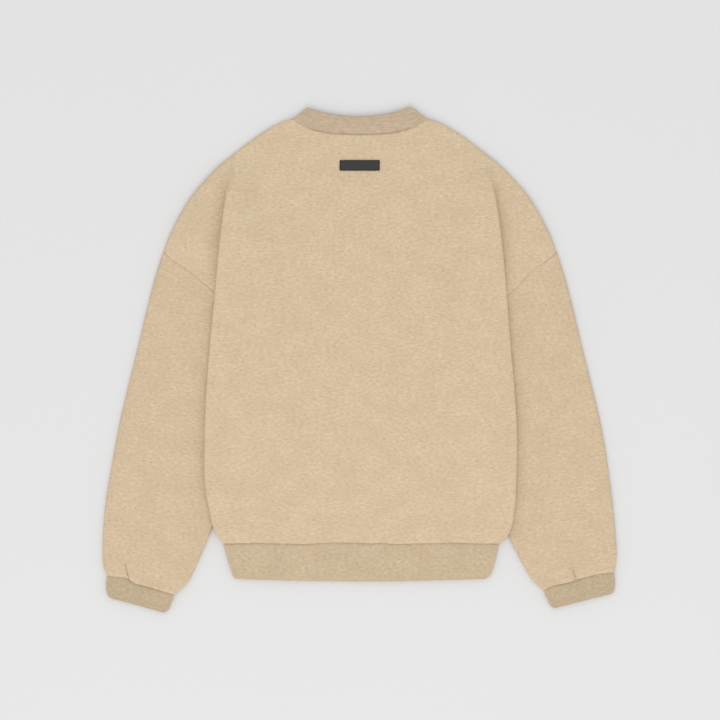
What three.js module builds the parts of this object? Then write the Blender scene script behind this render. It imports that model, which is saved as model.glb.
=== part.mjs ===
import * as THREE from 'three';

// Crewneck sweatshirt laid flat, back side up, sleeves down beside the body.
// Millimetres. The neck points to +Y, the hem to -Y, the cloth rests on Z = 0.
// Every piece is a bent sheet: its middle surface is worked out first and then given its wall.

// Cloth
const FLEECE = 2.4;
const RIB = 2.6;
const SEAM_GAP = 0.3;
const ON_SEAM = 0.02;

// Heights of the middle of each layer
const FRONT_Z = FLEECE / 2;
const LAP_Z = 3.9;
const LOWER_Z = 4.9;
const MIDDLE_Z = 7.9;
const BODY_Z = 6.2;
const SHOULDER_Z = 5.1;
const RIB_FRONT_Z = RIB / 2;

// Folds of the back panel: radius of the middle surface
const SIDE_FOLD = 2.4;
const VALLEY_FOLD = (MIDDLE_Z - LOWER_Z) / 2;
const HEM_FOLD = 1.65;

// Body lengths
const HEM_SEAM_Y = -278;
const HEM_EDGE_Y = -336;
const SHOULDER_TIP = { x: 193, y: 311.7 };
const UNDERARM = { x: 139, y: 50 };
const UNDERARM_CLEAR = 4.5;
const LAP = 12;
const SLEEVE_CLEAR = 3;
const SLOPE_WIDTH = 50;
const EDGE_ROUND = 3.4;
const FRONT_INSET = 4.8;

// Neck
const NECK_HALF = 103;
const NECK_CORNER_Y = 366;
const COLLAR_HALF = 79;
const COLLAR_CORNER_Y = 384;
const FRONT_NECK_Y = 281;
const FRONT_COLLAR_Y = 309;
const FRONT_NECK_POWER = 2.5;

// Stations round the neck, as shares of its half width
const NECK_SHARES = [0, 0.24, 0.48, 0.67, 0.84, 0.985];
const FRONT_NECK_SHARES = [0, 0.17, 0.34, 0.5, 0.64, 0.76, 0.86, 0.93];

// Outermost line of the body's side fold, from the hem seam up to the shoulder
const SIDE_FOLD_LINE = [
  { y: -278, left: 207.5, right: 211.6 },
  { y: -268, left: 213.8, right: 222.4 },
  { y: -255, left: 221.6, right: 228.8 },
  { y: -223, left: 229.4, right: 235 },
  { y: -188, left: 235, right: 238.8 },
  { y: -118, left: 235.6, right: 240.8 },
  { y: -48, left: 233, right: 237.4 },
  { y: 21, left: 227.5, right: 231.6 },
  { y: 91, left: 221, right: 224.6 },
  { y: 155, left: 216, right: 218.8 },
  { y: 208, left: 211, right: 212.6 },
  { y: 245, left: 205.6, right: 206.6 },
  { y: 261, left: 203, right: 203.6 },
  { y: 312, left: 193, right: 193 },
];

// How the side fold opens out below the shoulder: turn in degrees, web is the straight part
const FOLD_END = [
  { y: 245, turn: 180, web: 0.6 },
  { y: 253, turn: 132, web: 0.7 },
  { y: 260, turn: 88, web: 1.1 },
  { y: 267, turn: 54, web: 2.1 },
  { y: 276, turn: 28, web: 3 },
  { y: 290, turn: 9, web: 3 },
  { y: 304, turn: 2, web: 1.4 },
  { y: 311.7, turn: 0, web: 0 },
];

// Neck seam of the back from the centre to the shoulder
const NECK_SEAM = [
  { x: 0, y: 340.4 },
  { x: 35, y: 341.7 },
  { x: 51, y: 343.4 },
  { x: 69, y: 347.3 },
  { x: 85, y: 353.7 },
  { x: 103, y: 366 },
];

// Outline of the shoulder from the neck to the armhole seam
const SHOULDER = [
  { x: 103, y: 366 },
  { x: 125, y: 359 },
  { x: 140, y: 350 },
  { x: 156, y: 340 },
  { x: 168, y: 331 },
  { x: 180, y: 322 },
  { x: 193, y: 311.7 },
  { x: 213, y: 296 },
  { x: 232, y: 276 },
  { x: 250, y: 256 },
  { x: 263, y: 237.5 },
  { x: 274, y: 219 },
  { x: 283, y: 201 },
  { x: 292, y: 182 },
  { x: 298.7, y: 163.4 },
];

// Sleeve from the armhole seam to the cuff seam: outer and inner edge of each section.
// The part of the inner edge above y = -255 lies under the body.
const SLEEVE_UPPER = [
  { outX: 298.7, outY: 163.4, inX: 139, inY: 50 },
  { outX: 310, outY: 128, inX: 149, inY: 18 },
  { outX: 320, outY: 91, inX: 158, inY: -14 },
  { outX: 328.6, outY: 55, inX: 167, inY: -46 },
  { outX: 337.3, outY: 18, inX: 175.5, inY: -78 },
  { outX: 346.3, outY: -18, inX: 184, inY: -110 },
  { outX: 355.4, outY: -55, inX: 193, inY: -143 },
  { outX: 363.8, outY: -91, inX: 202, inY: -176 },
  { outX: 371, outY: -128, inX: 211, inY: -210 },
];
const SLEEVE_LOWER = {
  left: [
    { outX: 377.5, outY: -164, inX: 220, inY: -244 },
    { outX: 384, outY: -201, inX: 231, inY: -272 },
    { outX: 388.2, outY: -237, inX: 243, inY: -300 },
    { outX: 390.3, outY: -274, inX: 256, inY: -328 },
    { outX: 390.5, outY: -296, inX: 264.5, inY: -341.5 },
    { outX: 389, outY: -315, inX: 274.4, inY: -351 },
    { outX: 383.8, outY: -326.6, inX: 281, inY: -356.3 },
  ],
  right: [
    { outX: 376.5, outY: -164, inX: 220, inY: -249 },
    { outX: 381.5, outY: -201, inX: 230, inY: -274 },
    { outX: 385.4, outY: -237, inX: 241, inY: -296 },
    { outX: 388.4, outY: -274, inX: 253, inY: -318 },
    { outX: 389.8, outY: -292, inX: 263, inY: -332.5 },
    { outX: 389.5, outY: -309, inX: 271, inY: -342.5 },
    { outX: 386.8, outY: -322, inX: 279.4, inY: -348.5 },
  ],
};

// Cuff from its seam to its free edge
const CUFF = {
  left: [
    { outX: 383.8, outY: -326.9, inX: 281, inY: -356.6 },
    { outX: 385.4, outY: -337, inX: 283.6, inY: -362.5 },
    { outX: 385.4, outY: -349, inX: 286.8, inY: -369.5 },
    { outX: 383.6, outY: -358.6, inX: 290.5, inY: -378.5 },
    { outX: 377.5, outY: -364, inX: 297.2, inY: -384.6 },
  ],
  right: [
    { outX: 386.8, outY: -322.3, inX: 279.4, inY: -348.8 },
    { outX: 388.6, outY: -332, inX: 281.2, inY: -354.5 },
    { outX: 389.2, outY: -343, inX: 284, inY: -361.5 },
    { outX: 388, outY: -351.5, inX: 288.5, inY: -370.5 },
    { outX: 381.8, outY: -356.8, inX: 295.3, inY: -377.2 },
  ],
};

// Hem rib from its seam to its free edge; dip is how far the middle hangs below the ends
const HEM = [
  { left: 207.5, right: 211.6, y: -278.2, dip: 0 },
  { left: 203.6, right: 209.2, y: -287, dip: 0.2 },
  { left: 200, right: 207, y: -298, dip: 0.5 },
  { left: 196.4, right: 203.6, y: -313, dip: 1 },
  { left: 193.8, right: 199.4, y: -325, dip: 2.4 },
  { left: 191.4, right: 194.4, y: -331.6, dip: -331.6 - HEM_EDGE_Y },
];

// Collar rib of the back from its seam to its free edge: centre, corner and its height
const COLLAR = [
  { half: NECK_HALF, cornerY: NECK_CORNER_Y, backY: 340.7, frontY: FRONT_NECK_Y + 0.2 },
  { half: 97.4, cornerY: 371.4, backY: 348, frontY: 288 },
  { half: 91.2, cornerY: 376.6, backY: 355.3, frontY: 295 },
  { half: 85, cornerY: 381, backY: 362.7, frontY: 302 },
  { half: COLLAR_HALF, cornerY: COLLAR_CORNER_Y, backY: 370, frontY: FRONT_COLLAR_Y },
];

// Label plate on the upper back
const LABEL = {
  x: -0.5,
  y: 295,
  width: 61,
  height: 16,
  base: 0.35,
  field: 0.9,
  rim: 1.3,
  rimWidth: 1.2,
};

// Value of one column of a table at a key, as a soft curve through its rows
function along(table, key, column, at) {
  const rows = table[0][key] <= table[table.length - 1][key] ? table : [...table].reverse();
  const last = rows.length - 1;
  let i = 0;
  while (i < last - 1 && at > rows[i + 1][key]) i += 1;
  const slope = (k) => {
    const a = rows[Math.max(k - 1, 0)];
    const b = rows[Math.min(k + 1, last)];
    return (b[column] - a[column]) / (b[key] - a[key]);
  };
  const span = rows[i + 1][key] - rows[i][key];
  const t = THREE.MathUtils.clamp((at - rows[i][key]) / span, 0, 1);
  const t2 = t * t;
  const t3 = t2 * t;
  return (2 * t3 - 3 * t2 + 1) * rows[i][column]
    + (t3 - 2 * t2 + t) * span * slope(i)
    + (3 * t2 - 2 * t3) * rows[i + 1][column]
    + (t3 - t2) * span * slope(i + 1);
}

const mix = THREE.MathUtils.lerp;
const ramp = THREE.MathUtils.smoothstep;

// Polyline helpers for the outline of the shoulder and the armhole seam
function pathLength(points) {
  let sum = 0;
  for (let i = 1; i < points.length; i += 1) {
    sum += Math.hypot(points[i].x - points[i - 1].x, points[i].y - points[i - 1].y);
  }
  return sum;
}

function pointOnPath(points, fraction) {
  let left = pathLength(points) * fraction;
  for (let i = 1; i < points.length; i += 1) {
    const a = points[i - 1];
    const b = points[i];
    const step = Math.hypot(b.x - a.x, b.y - a.y);
    if (left <= step || i === points.length - 1) {
      return { x: mix(a.x, b.x, left / step), y: mix(a.y, b.y, left / step) };
    }
    left -= step;
  }
  return points[points.length - 1];
}

function distanceToPath(points, x, y) {
  let best = Infinity;
  for (let i = 1; i < points.length; i += 1) {
    const a = points[i - 1];
    const b = points[i];
    const dx = b.x - a.x;
    const dy = b.y - a.y;
    const t = THREE.MathUtils.clamp(((x - a.x) * dx + (y - a.y) * dy) / (dx * dx + dy * dy), 0, 1);
    best = Math.min(best, Math.hypot(x - a.x - t * dx, y - a.y - t * dy));
  }
  return best;
}

// The same path moved sideways, to its right as it is walked
function offsetPath(points, distance) {
  return points.map((p, i) => {
    const a = points[Math.max(i - 1, 0)];
    const b = points[Math.min(i + 1, points.length - 1)];
    const length = Math.hypot(b.x - a.x, b.y - a.y);
    return { x: p.x + (b.y - a.y) / length * distance, y: p.y - (b.x - a.x) / length * distance };
  });
}

// A bent sheet: points of its middle surface, shared where they meet, and its triangles
class Sheet {
  constructor() {
    this.points = [];
    this.faces = [];
    this.found = new Map();
  }

  point(x, y, z) {
    const key = `${x.toFixed(3)},${y.toFixed(3)},${z.toFixed(3)}`;
    if (!this.found.has(key)) {
      this.found.set(key, this.points.length);
      this.points.push(new THREE.Vector3(x, y, z));
    }
    return this.found.get(key);
  }

  triangle(a, b, c) {
    if (a !== b && b !== c && a !== c) this.faces.push([a, b, c]);
  }

  // Two neighbouring rows of point numbers; the longer row's extra points have no partner
  strip(rowA, rowB, { closed = false, mirrored = false } = {}) {
    const count = Math.min(rowA.length, rowB.length);
    const last = closed ? count : count - 1;
    for (let i = 0; i < last; i += 1) {
      const k = (i + 1) % count;
      if (mirrored) {
        this.triangle(rowA[k], rowA[i], rowB[k]);
        this.triangle(rowB[k], rowA[i], rowB[i]);
      } else {
        this.triangle(rowA[i], rowA[k], rowB[k]);
        this.triangle(rowA[i], rowB[k], rowB[i]);
      }
    }
  }

  normals(seams) {
    const sums = this.points.map(() => new THREE.Vector3());
    for (const [a, b, c] of this.faces) {
      const u = this.points[b].clone().sub(this.points[a]);
      const v = this.points[c].clone().sub(this.points[a]);
      const n = u.cross(v);
      for (const k of [a, b, c]) sums[k].add(n);
    }
    for (const [a, b] of seams) {
      const across = new THREE.Vector3(b.y - a.y, a.x - b.x, 0).normalize();
      sums.forEach((n, k) => {
        const off = (this.points[k].x - a.x) * across.x + (this.points[k].y - a.y) * across.y;
        if (Math.abs(off) < ON_SEAM) n.addScaledVector(across, -n.dot(across));
      });
    }
    return sums.map((n) => n.normalize());
  }
}

// Closed solid from flat lists of corners and triangles, turned right side out
function solid(corners, faces) {
  let volume = 0;
  for (const [a, b, c] of faces) volume += corners[a].dot(corners[b].clone().cross(corners[c]));
  const geometry = new THREE.BufferGeometry();
  const positions = corners.flatMap((p) => [p.x, p.y, p.z]);
  geometry.setAttribute('position', new THREE.Float32BufferAttribute(positions, 3));
  geometry.setIndex(faces.flatMap(([a, b, c]) => (volume > 0 ? [a, b, c] : [a, c, b])));
  return geometry;
}

// Gives a sheet its wall, half to each side, and closes its free edges; nothing goes under the floor.
// Along the straight seams the wall stands upright, so that the pieces keep their distance.
function thicken(sheet, wall, seams) {
  const count = sheet.points.length;
  const normals = sheet.normals(seams);
  const side = (sign) => sheet.points.map((p, i) => {
    const q = p.clone().addScaledVector(normals[i], sign * wall / 2);
    q.z = Math.max(q.z, 0);
    return q;
  });
  const corners = [...side(1), ...side(-1)];
  const edges = new Map();
  const faces = [];
  for (const [a, b, c] of sheet.faces) {
    faces.push([a, b, c], [a + count, c + count, b + count]);
    for (const [p, q] of [[a, b], [b, c], [c, a]]) edges.set(`${p},${q}`, [p, q]);
  }
  for (const [p, q] of edges.values()) {
    if (!edges.has(`${q},${p}`)) faces.push([p + count, q + count, q], [p + count, q, p]);
  }
  return solid(corners, faces);
}

// Lines of the body that several pieces share
const shoulderEdge = offsetPath(SHOULDER, FLEECE / 2);
const armholeStart = { x: UNDERARM.x - 0.17, y: UNDERARM.y + 0.25 };
const armholeEnd = shoulderEdge[shoulderEdge.length - 1];
const armhole = [
  { x: UNDERARM.x + FLEECE / 2 + VALLEY_FOLD, y: UNDERARM.y + UNDERARM_CLEAR },
  { x: mix(armholeStart.x, armholeEnd.x, 0.08), y: mix(armholeStart.y, armholeEnd.y, 0.08) },
  armholeEnd,
];
const tipIndex = SHOULDER.findIndex((p) => p.x === SHOULDER_TIP.x);
const shoulderFromArmhole = shoulderEdge.slice(tipIndex).reverse();
const neckOfBack = offsetPath(NECK_SHARES.map((u) => ({
  x: u * NECK_HALF,
  y: along(NECK_SEAM, 'x', 'y', u * NECK_HALF),
})), SEAM_GAP);
const neckOfFront = offsetPath(FRONT_NECK_SHARES.map((u) => ({
  x: u * NECK_HALF,
  y: mix(FRONT_NECK_Y, NECK_CORNER_Y, u ** FRONT_NECK_POWER),
})), SEAM_GAP);

const sleeveRows = (side) => [...SLEEVE_UPPER, ...SLEEVE_LOWER[side]];
const sideFold = (side, y) => along(SIDE_FOLD_LINE, 'y', side, y);
const sleeveInner = (side, y) => along(sleeveRows(side), 'inY', 'inX', y);

// Valley of the pleat above the underarm, from the underarm to where the fold opens out
function valley(side, y) {
  const top = FOLD_END[0].y;
  const topX = sideFold(side, top) - FLEECE - SIDE_FOLD - VALLEY_FOLD - FOLD_END[0].web;
  return mix(UNDERARM.x, topX, (y - UNDERARM.y) / (top - UNDERARM.y));
}

// Side edge of the front panel, just inside the sleeve
function frontSide(side, y) {
  return Math.min(sleeveInner(side, y) - SLEEVE_CLEAR, sideFold(side, y) - 10);
}

// Where the cloth of the body steps up over the sleeve
function stepLine(side, y) {
  return y > UNDERARM.y ? valley(side, y) : sleeveInner(side, Math.max(y, -330));
}

// Height of the middle layer at the side fold, and of the fold itself
function middleHeight(y) {
  return mix(LAP_Z, MIDDLE_Z, ramp(y, -276, -256));
}

function foldShape(y) {
  if (y < FOLD_END[0].y) {
    return { turn: Math.PI, radius: mix(HEM_FOLD, SIDE_FOLD, ramp(y, -276, -256)) };
  }
  return {
    turn: THREE.MathUtils.degToRad(along(FOLD_END, 'y', 'turn', y)),
    web: along(FOLD_END, 'y', 'web', y),
    radius: SIDE_FOLD * (1 - ramp(y, 280, SHOULDER_TIP.y)),
    valley: VALLEY_FOLD * (1 - ramp(y, 280, SHOULDER_TIP.y)),
  };
}

// Height of the upper layer where the side fold begins
function sideHeight(y) {
  const fold = foldShape(y);
  if (y < FOLD_END[0].y) return middleHeight(y) + 2 * fold.radius;
  const bends = (fold.radius + fold.valley) * (1 - Math.cos(fold.turn));
  return LOWER_Z + bends + fold.web * Math.sin(fold.turn);
}

// Height of the upper layer of the back anywhere between its side folds
function upperHeight(x, y) {
  const side = x < 0 ? 'left' : 'right';
  const bulge = 0.9 * ramp(y, HEM_SEAM_Y - 1, -266) * (1 - ramp(y, -262, -215));
  const centre = mix(BODY_Z, SHOULDER_Z, ramp(y, 230, 300)) + bulge;
  const foldY = Math.min(y, SHOULDER_TIP.y);
  const step = Math.min(stepLine(side, Math.min(foldY, FOLD_END[0].y)), sideFold(side, foldY) - 4) + 4;
  return mix(centre, sideHeight(foldY), ramp(Math.abs(x), step - SLOPE_WIDTH, step));
}

// Rounds the cloth down to the shoulder outline
function shoulderDrop(x, y, z) {
  const d = distanceToPath(shoulderEdge, Math.abs(x), y);
  if (d >= EDGE_ROUND) return z;
  const u = 1 - d / EDGE_ROUND;
  const low = mix(FRONT_Z, z, Math.sqrt(Math.max(1 - u * u, 0)));
  return mix(z, low, ramp(Math.abs(x), NECK_HALF + 1, NECK_HALF + 20));
}

// Rows of the back panel, by their height at the side fold
const BACK_ROWS = [
  -277.9, -274, -268, -261, -252, -240, -220, -188, -153, -118, -83, -48, -14, 20, 38,
  UNDERARM.y + UNDERARM_CLEAR, 79, 105, 131, 157, 181.5, 183.3, 184, 208, 228, 245, 253, 260,
  267, 276, 290, 302, 308, 310.6, 311.7,
];
const UNDERARM_ROW = 15;
const ARMHOLE_END_Y = 184;

// Columns from the middle of the back to its side fold, as shares; one passes the neck corner
const BACK_COLUMNS = [
  ...NECK_SHARES.map((u) => u * NECK_HALF / SHOULDER_TIP.x),
  0.61, 0.68, 0.75, 0.82, 0.88, 0.94, 1,
];
const LOWER_COLUMNS = [0.16, 0.36, 0.57, 0.78];

// Upper boundary of the back at one of its columns
function topOfBack(column) {
  if (column < NECK_SHARES.length) return neckOfBack[column].y;
  return along(shoulderEdge, 'x', 'y', BACK_COLUMNS[column] * SHOULDER_TIP.x);
}

// One side of one row of the back: upper layer, side fold, middle layer, valley and lower layer
function backRow(side, foldY, index) {
  const sign = side === 'left' ? -1 : 1;
  const share = (foldY - BACK_ROWS[0]) / (SHOULDER_TIP.y - BACK_ROWS[0]);
  const fold = foldShape(foldY);
  const closing = 1 - ramp(foldY, 290, SHOULDER_TIP.y);
  const startX = sideFold(side, foldY) - (FLEECE / 2 + SIDE_FOLD) * closing;
  const row = [];
  BACK_COLUMNS.forEach((c, k) => {
    const x = c * startX;
    const y = mix(BACK_ROWS[0], topOfBack(k), share);
    row.push([x, y, shoulderDrop(x, y, upperHeight(sign * x, y))]);
  });
  const y = row[row.length - 1][1];
  const topZ = upperHeight(sign * startX, foldY);
  const turned = (from, angle, radius) => [from[0] + radius * Math.sin(angle), y,
    from[2] - radius * (1 - Math.cos(angle))];
  const start = [startX, y, topZ];
  for (let k = 1; k <= 4; k += 1) row.push(turned(start, fold.turn * k / 4, fold.radius));
  const under = row[row.length - 1];
  if (index < UNDERARM_ROW) {
    const seamX = frontSide(side, foldY) - LAP;
    for (const t of [0.3, 0.52, 0.66, 0.78, 0.89, 1]) {
      const x = mix(under[0], seamX, t);
      const rise = ramp(x, frontSide(side, foldY) - 9, frontSide(side, foldY) - 1);
      row.push([x, y, mix(LAP_Z, middleHeight(foldY), rise)]);
    }
  } else {
    const web = foldY < FOLD_END[0].y
      ? under[0] - valley(side, foldY) - FLEECE / 2 - VALLEY_FOLD
      : fold.web;
    for (const t of [0.3, 0.52, 0.66, 0.78, 0.89, 1]) {
      row.push([under[0] + web * t * Math.cos(fold.turn), y, under[2] - web * t * Math.sin(fold.turn)]);
    }
    const bend = fold.valley ?? VALLEY_FOLD;
    const low = row[row.length - 1];
    for (let k = 3; k >= 0; k -= 1) {
      const a = fold.turn * k / 4;
      row.push([low[0] + bend * (Math.sin(fold.turn) - Math.sin(a)), y,
        low[2] - bend * (Math.cos(a) - Math.cos(fold.turn))]);
    }
    const inner = row[row.length - 1];
    const firstY = BACK_ROWS[UNDERARM_ROW];
    const edge = foldY <= ARMHOLE_END_Y
      ? pointOnPath(armhole, (foldY - firstY) / (ARMHOLE_END_Y - firstY))
      : pointOnPath(shoulderFromArmhole, (foldY - ARMHOLE_END_Y) / (SHOULDER_TIP.y - ARMHOLE_END_Y));
    const length = Math.hypot(edge.x - inner[0], edge.y - y);
    const near = [Math.min(EDGE_ROUND, 0.2 * length), Math.min(1, 0.07 * length), 0];
    const shares = [...LOWER_COLUMNS, ...near.map((d) => (length > 0.01 ? 1 - d / length : 1))];
    for (const t of shares) {
      const x = mix(inner[0], edge.x, t);
      const py = mix(y, edge.y, t);
      row.push([x, py, shoulderDrop(x, py, inner[2])]);
    }
    for (let k = BACK_COLUMNS.length; k < row.length; k += 1) {
      row[k][2] = Math.min(row[k][2], shoulderDrop(row[k][0], row[k][1], row[k][2]));
    }
  }
  return row.map(([x, py, z]) => [sign * x, py, z]);
}

function buildBack() {
  const sheet = new Sheet();
  for (const side of ['left', 'right']) {
    const rows = BACK_ROWS.map((y, j) => backRow(side, y, j).map(([x, py, z]) => sheet.point(x, py, z)));
    for (let j = 1; j < rows.length; j += 1) {
      sheet.strip(rows[j - 1], rows[j], { mirrored: side === 'left' });
    }
  }
  return sheet;
}

// Front panel: flat on the floor under the back
function frontGeometry() {
  const shape = new THREE.Shape();
  const corner = offsetPath(SHOULDER, FRONT_INSET).slice(1);
  const outline = [];
  for (const side of ['right', 'left']) {
    const sign = side === 'left' ? -1 : 1;
    const half = [];
    const ys = [BACK_ROWS[0], -270, -262, -254, -240, -220, -190, -150, -110, -70, -30, 10, 44];
    for (const y of ys) half.push([frontSide(side, y), y]);
    half.push([UNDERARM.x - SLEEVE_CLEAR, UNDERARM.y - 2]);
    half.push([armholeStart.x, armholeStart.y]);
    half.push([mix(armholeEnd.x, armholeStart.x, 0.02), mix(armholeEnd.y, armholeStart.y, 0.02)]);
    for (const p of [...corner].reverse().slice(1)) half.push([p.x, p.y]);
    for (const p of [...neckOfFront].reverse().slice(0, -1)) half.push([p.x, p.y]);
    if (side === 'right') {
      half.push([0, neckOfFront[0].y]);
      outline.push(...half);
    } else {
      outline.push(...half.reverse().map(([x, y]) => [sign * x, y]));
    }
  }
  outline.forEach(([x, y], i) => (i === 0 ? shape.moveTo(x, y) : shape.lineTo(x, y)));
  return new THREE.ExtrudeGeometry(shape, { depth: FLEECE, bevelEnabled: false });
}

// One section of a flattened tube between an outer and an inner edge point.
// low and high are the heights of the middle of the wall; bow lifts the upper layer across.
function tubeSection(out, inner, wall, low, high, bow) {
  const radius = (high - low) / 2;
  const inset = radius + wall / 2;
  const length = Math.hypot(inner.x - out.x, inner.y - out.y);
  const ux = (inner.x - out.x) / length;
  const uy = (inner.y - out.y) / length;
  const at = (d, z) => [out.x + ux * d, out.y + uy * d, z];
  const ring = [];
  const span = length - 2 * inset;
  const steps = 8;
  for (let k = 0; k <= steps; k += 1) {
    const t = k / steps;
    ring.push(at(inset + span * t, high + bow(t)));
  }
  for (const a of [45, 90, 135]) {
    const r = THREE.MathUtils.degToRad(a);
    ring.push(at(inset + span + radius * Math.sin(r), low + radius + radius * Math.cos(r)));
  }
  for (let k = steps; k >= 0; k -= 1) ring.push(at(inset + span * k / steps, low));
  for (const a of [135, 90, 45]) {
    const r = THREE.MathUtils.degToRad(a);
    ring.push(at(inset - radius * Math.sin(r), low + radius + radius * Math.cos(r)));
  }
  return ring;
}

function ringsToSheet(rings) {
  const sheet = new Sheet();
  const rows = rings.map((ring) => ring.map(([x, y, z]) => sheet.point(x, y, z)));
  for (let j = 1; j < rows.length; j += 1) sheet.strip(rows[j - 1], rows[j], { closed: true });
  return sheet;
}

// The straight lines of a tube's two open ends
function tubeEnds(rows, sign) {
  return [rows[0], rows[rows.length - 1]].map((row) => [
    { x: sign * row.outX, y: row.outY },
    { x: sign * row.inX, y: row.inY },
  ]);
}

// Sleeve: flat under the body, a little fuller where it is free, gathered in at the cuff
function sleeveSheet(side) {
  const sign = side === 'left' ? -1 : 1;
  const rows = sleeveRows(side);
  const last = rows.length - 1;
  return ringsToSheet(rows.map((row, k) => {
    const free = ramp(k, 1, 6);
    const end = ramp(k, last - 5, last - 1);
    const high = LOWER_Z + 0.9 * ramp(k, 9, 12) + 0.6 * (k < last ? end : 0);
    const bow = (t) => {
      const covered = k < 10 ? 0.42 + 0.05 * k : 1.1;
      return (1.5 + 0.5 * end) * free * Math.sin(Math.PI * THREE.MathUtils.clamp(t / covered, 0, 1));
    };
    return tubeSection({ x: sign * row.outX, y: row.outY }, { x: sign * row.inX, y: row.inY },
      FLEECE, FRONT_Z, high, k === last ? () => 0 : bow);
  }));
}

// Cuff: rib folded double, a flattened tube with rounded corners at its free edge
function cuffSheet(side) {
  const sign = side === 'left' ? -1 : 1;
  const rows = CUFF[side];
  return ringsToSheet(rows.map((row, k) => {
    const high = k === rows.length - 1 ? 5 : 5.8;
    return tubeSection({ x: sign * row.outX, y: row.outY }, { x: sign * row.inX, y: row.inY },
      RIB, RIB_FRONT_Z, high, () => 0);
  }));
}

// Hem rib: one flattened tube across the whole body
function hemSheet() {
  return ringsToSheet(HEM.map((row, k) => {
    const high = k === HEM.length - 1 ? 5.6 : 6.5;
    const ring = tubeSection({ x: -row.left, y: row.y }, { x: row.right, y: row.y },
      RIB, RIB_FRONT_Z, high, () => 0);
    return ring.map(([x, y, z]) => {
      const u = x < 0 ? x / row.left : x / row.right;
      return [x, y - row.dip * (1 - u * u), z];
    });
  }));
}

// Collar: the back of it lies on top, the front hangs lower and lies on the floor
function collarSheet() {
  const radius = (SHOULDER_Z - RIB_FRONT_Z) / 2;
  return ringsToSheet(COLLAR.map((row, j) => {
    const soft = j / (COLLAR.length - 1);
    const rise = (u) => {
      const seam = along(NECK_SEAM, 'x', 'y', u * NECK_HALF);
      return mix((seam - NECK_SEAM[0].y) / (NECK_CORNER_Y - NECK_SEAM[0].y), u ** 2.2, soft);
    };
    const onBack = (u) => ({ x: u * row.half, y: mix(row.backY, row.cornerY, rise(u)) });
    const onFront = (u) => ({ x: u * row.half, y: mix(row.frontY, row.cornerY, u ** FRONT_NECK_POWER) });
    const tip = { x: row.half - 1.3, y: row.cornerY - 0.5 };
    const toward = (p, distance) => {
      const length = Math.hypot(tip.x - p.x, tip.y - p.y);
      return { x: mix(tip.x, p.x, distance / length), y: mix(tip.y, p.y, distance / length) };
    };
    const backLine = NECK_SHARES.slice(0, -1).map(onBack);
    const frontLine = FRONT_NECK_SHARES.map(onFront);
    const lastBack = backLine[backLine.length - 1];
    const lastFront = frontLine[frontLine.length - 1];
    const middle = RIB_FRONT_Z + radius;
    const lift = radius * Math.SQRT1_2;
    const half = [
      ...backLine.map((p) => [p.x, p.y, SHOULDER_Z]),
      [toward(lastBack, radius).x, toward(lastBack, radius).y, SHOULDER_Z],
      [toward(lastBack, radius - lift).x, toward(lastBack, radius - lift).y, middle + lift],
      [tip.x, tip.y, middle],
      [toward(lastFront, radius - lift).x, toward(lastFront, radius - lift).y, middle - lift],
      [toward(lastFront, radius).x, toward(lastFront, radius).y, RIB_FRONT_Z],
      ...frontLine.reverse().map((p) => [p.x, p.y, RIB_FRONT_Z]),
    ];
    const mirrored = half.slice(1, -1).reverse().map(([x, y, z]) => [-x, y, z]);
    return [...half, ...mirrored];
  }));
}

// Label: a thin plate with a raised rim that follows the back panel under it
function labelGeometry() {
  const halfW = LABEL.width / 2;
  const halfH = LABEL.height / 2;
  const xs = [-halfW, -halfW + LABEL.rimWidth, -halfW + LABEL.rimWidth + 0.3, -15, 0, 15,
    halfW - LABEL.rimWidth - 0.3, halfW - LABEL.rimWidth, halfW];
  const ys = [-halfH, -halfH + LABEL.rimWidth, -halfH + LABEL.rimWidth + 0.3, 0,
    halfH - LABEL.rimWidth - 0.3, halfH - LABEL.rimWidth, halfH];
  const corners = [];
  const faces = [];
  const number = (i, j, top) => (j * xs.length + i) * 2 + top;
  ys.forEach((dy, j) => xs.forEach((dx, i) => {
    const inField = i > 1 && i < xs.length - 2 && j > 1 && j < ys.length - 2;
    const x = LABEL.x + dx;
    const y = LABEL.y + dy;
    const base = upperHeight(x, y) + FLEECE / 2 + LABEL.base;
    corners.push(new THREE.Vector3(x, y, base));
    corners.push(new THREE.Vector3(x, y, base + (inField ? LABEL.field : LABEL.rim)));
  }));
  const quad = (a, b, c, d) => faces.push([a, b, c], [a, c, d]);
  for (let j = 0; j + 1 < ys.length; j += 1) {
    for (let i = 0; i + 1 < xs.length; i += 1) {
      quad(number(i, j, 1), number(i + 1, j, 1), number(i + 1, j + 1, 1), number(i, j + 1, 1));
      quad(number(i, j + 1, 0), number(i + 1, j + 1, 0), number(i + 1, j, 0), number(i, j, 0));
    }
  }
  const endX = xs.length - 1;
  const endY = ys.length - 1;
  for (let i = 0; i < endX; i += 1) {
    quad(number(i, 0, 0), number(i + 1, 0, 0), number(i + 1, 0, 1), number(i, 0, 1));
    quad(number(i + 1, endY, 0), number(i, endY, 0), number(i, endY, 1), number(i + 1, endY, 1));
  }
  for (let j = 0; j < endY; j += 1) {
    quad(number(0, j + 1, 0), number(0, j, 0), number(0, j, 1), number(0, j + 1, 1));
    quad(number(endX, j, 0), number(endX, j + 1, 0), number(endX, j + 1, 1), number(endX, j, 1));
  }
  return solid(corners, faces);
}

const group = new THREE.Group();

function add(name, geometry, color, roughness) {
  const mesh = new THREE.Mesh(geometry, new THREE.MeshStandardMaterial({ color, roughness }));
  mesh.name = name;
  group.add(mesh);
}

const BODY_COLOR = '#d6c0a1';
const SLEEVE_COLOR = '#d4be9e';
const RIB_COLOR = '#c8b295';
const LABEL_COLOR = '#414241';

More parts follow.
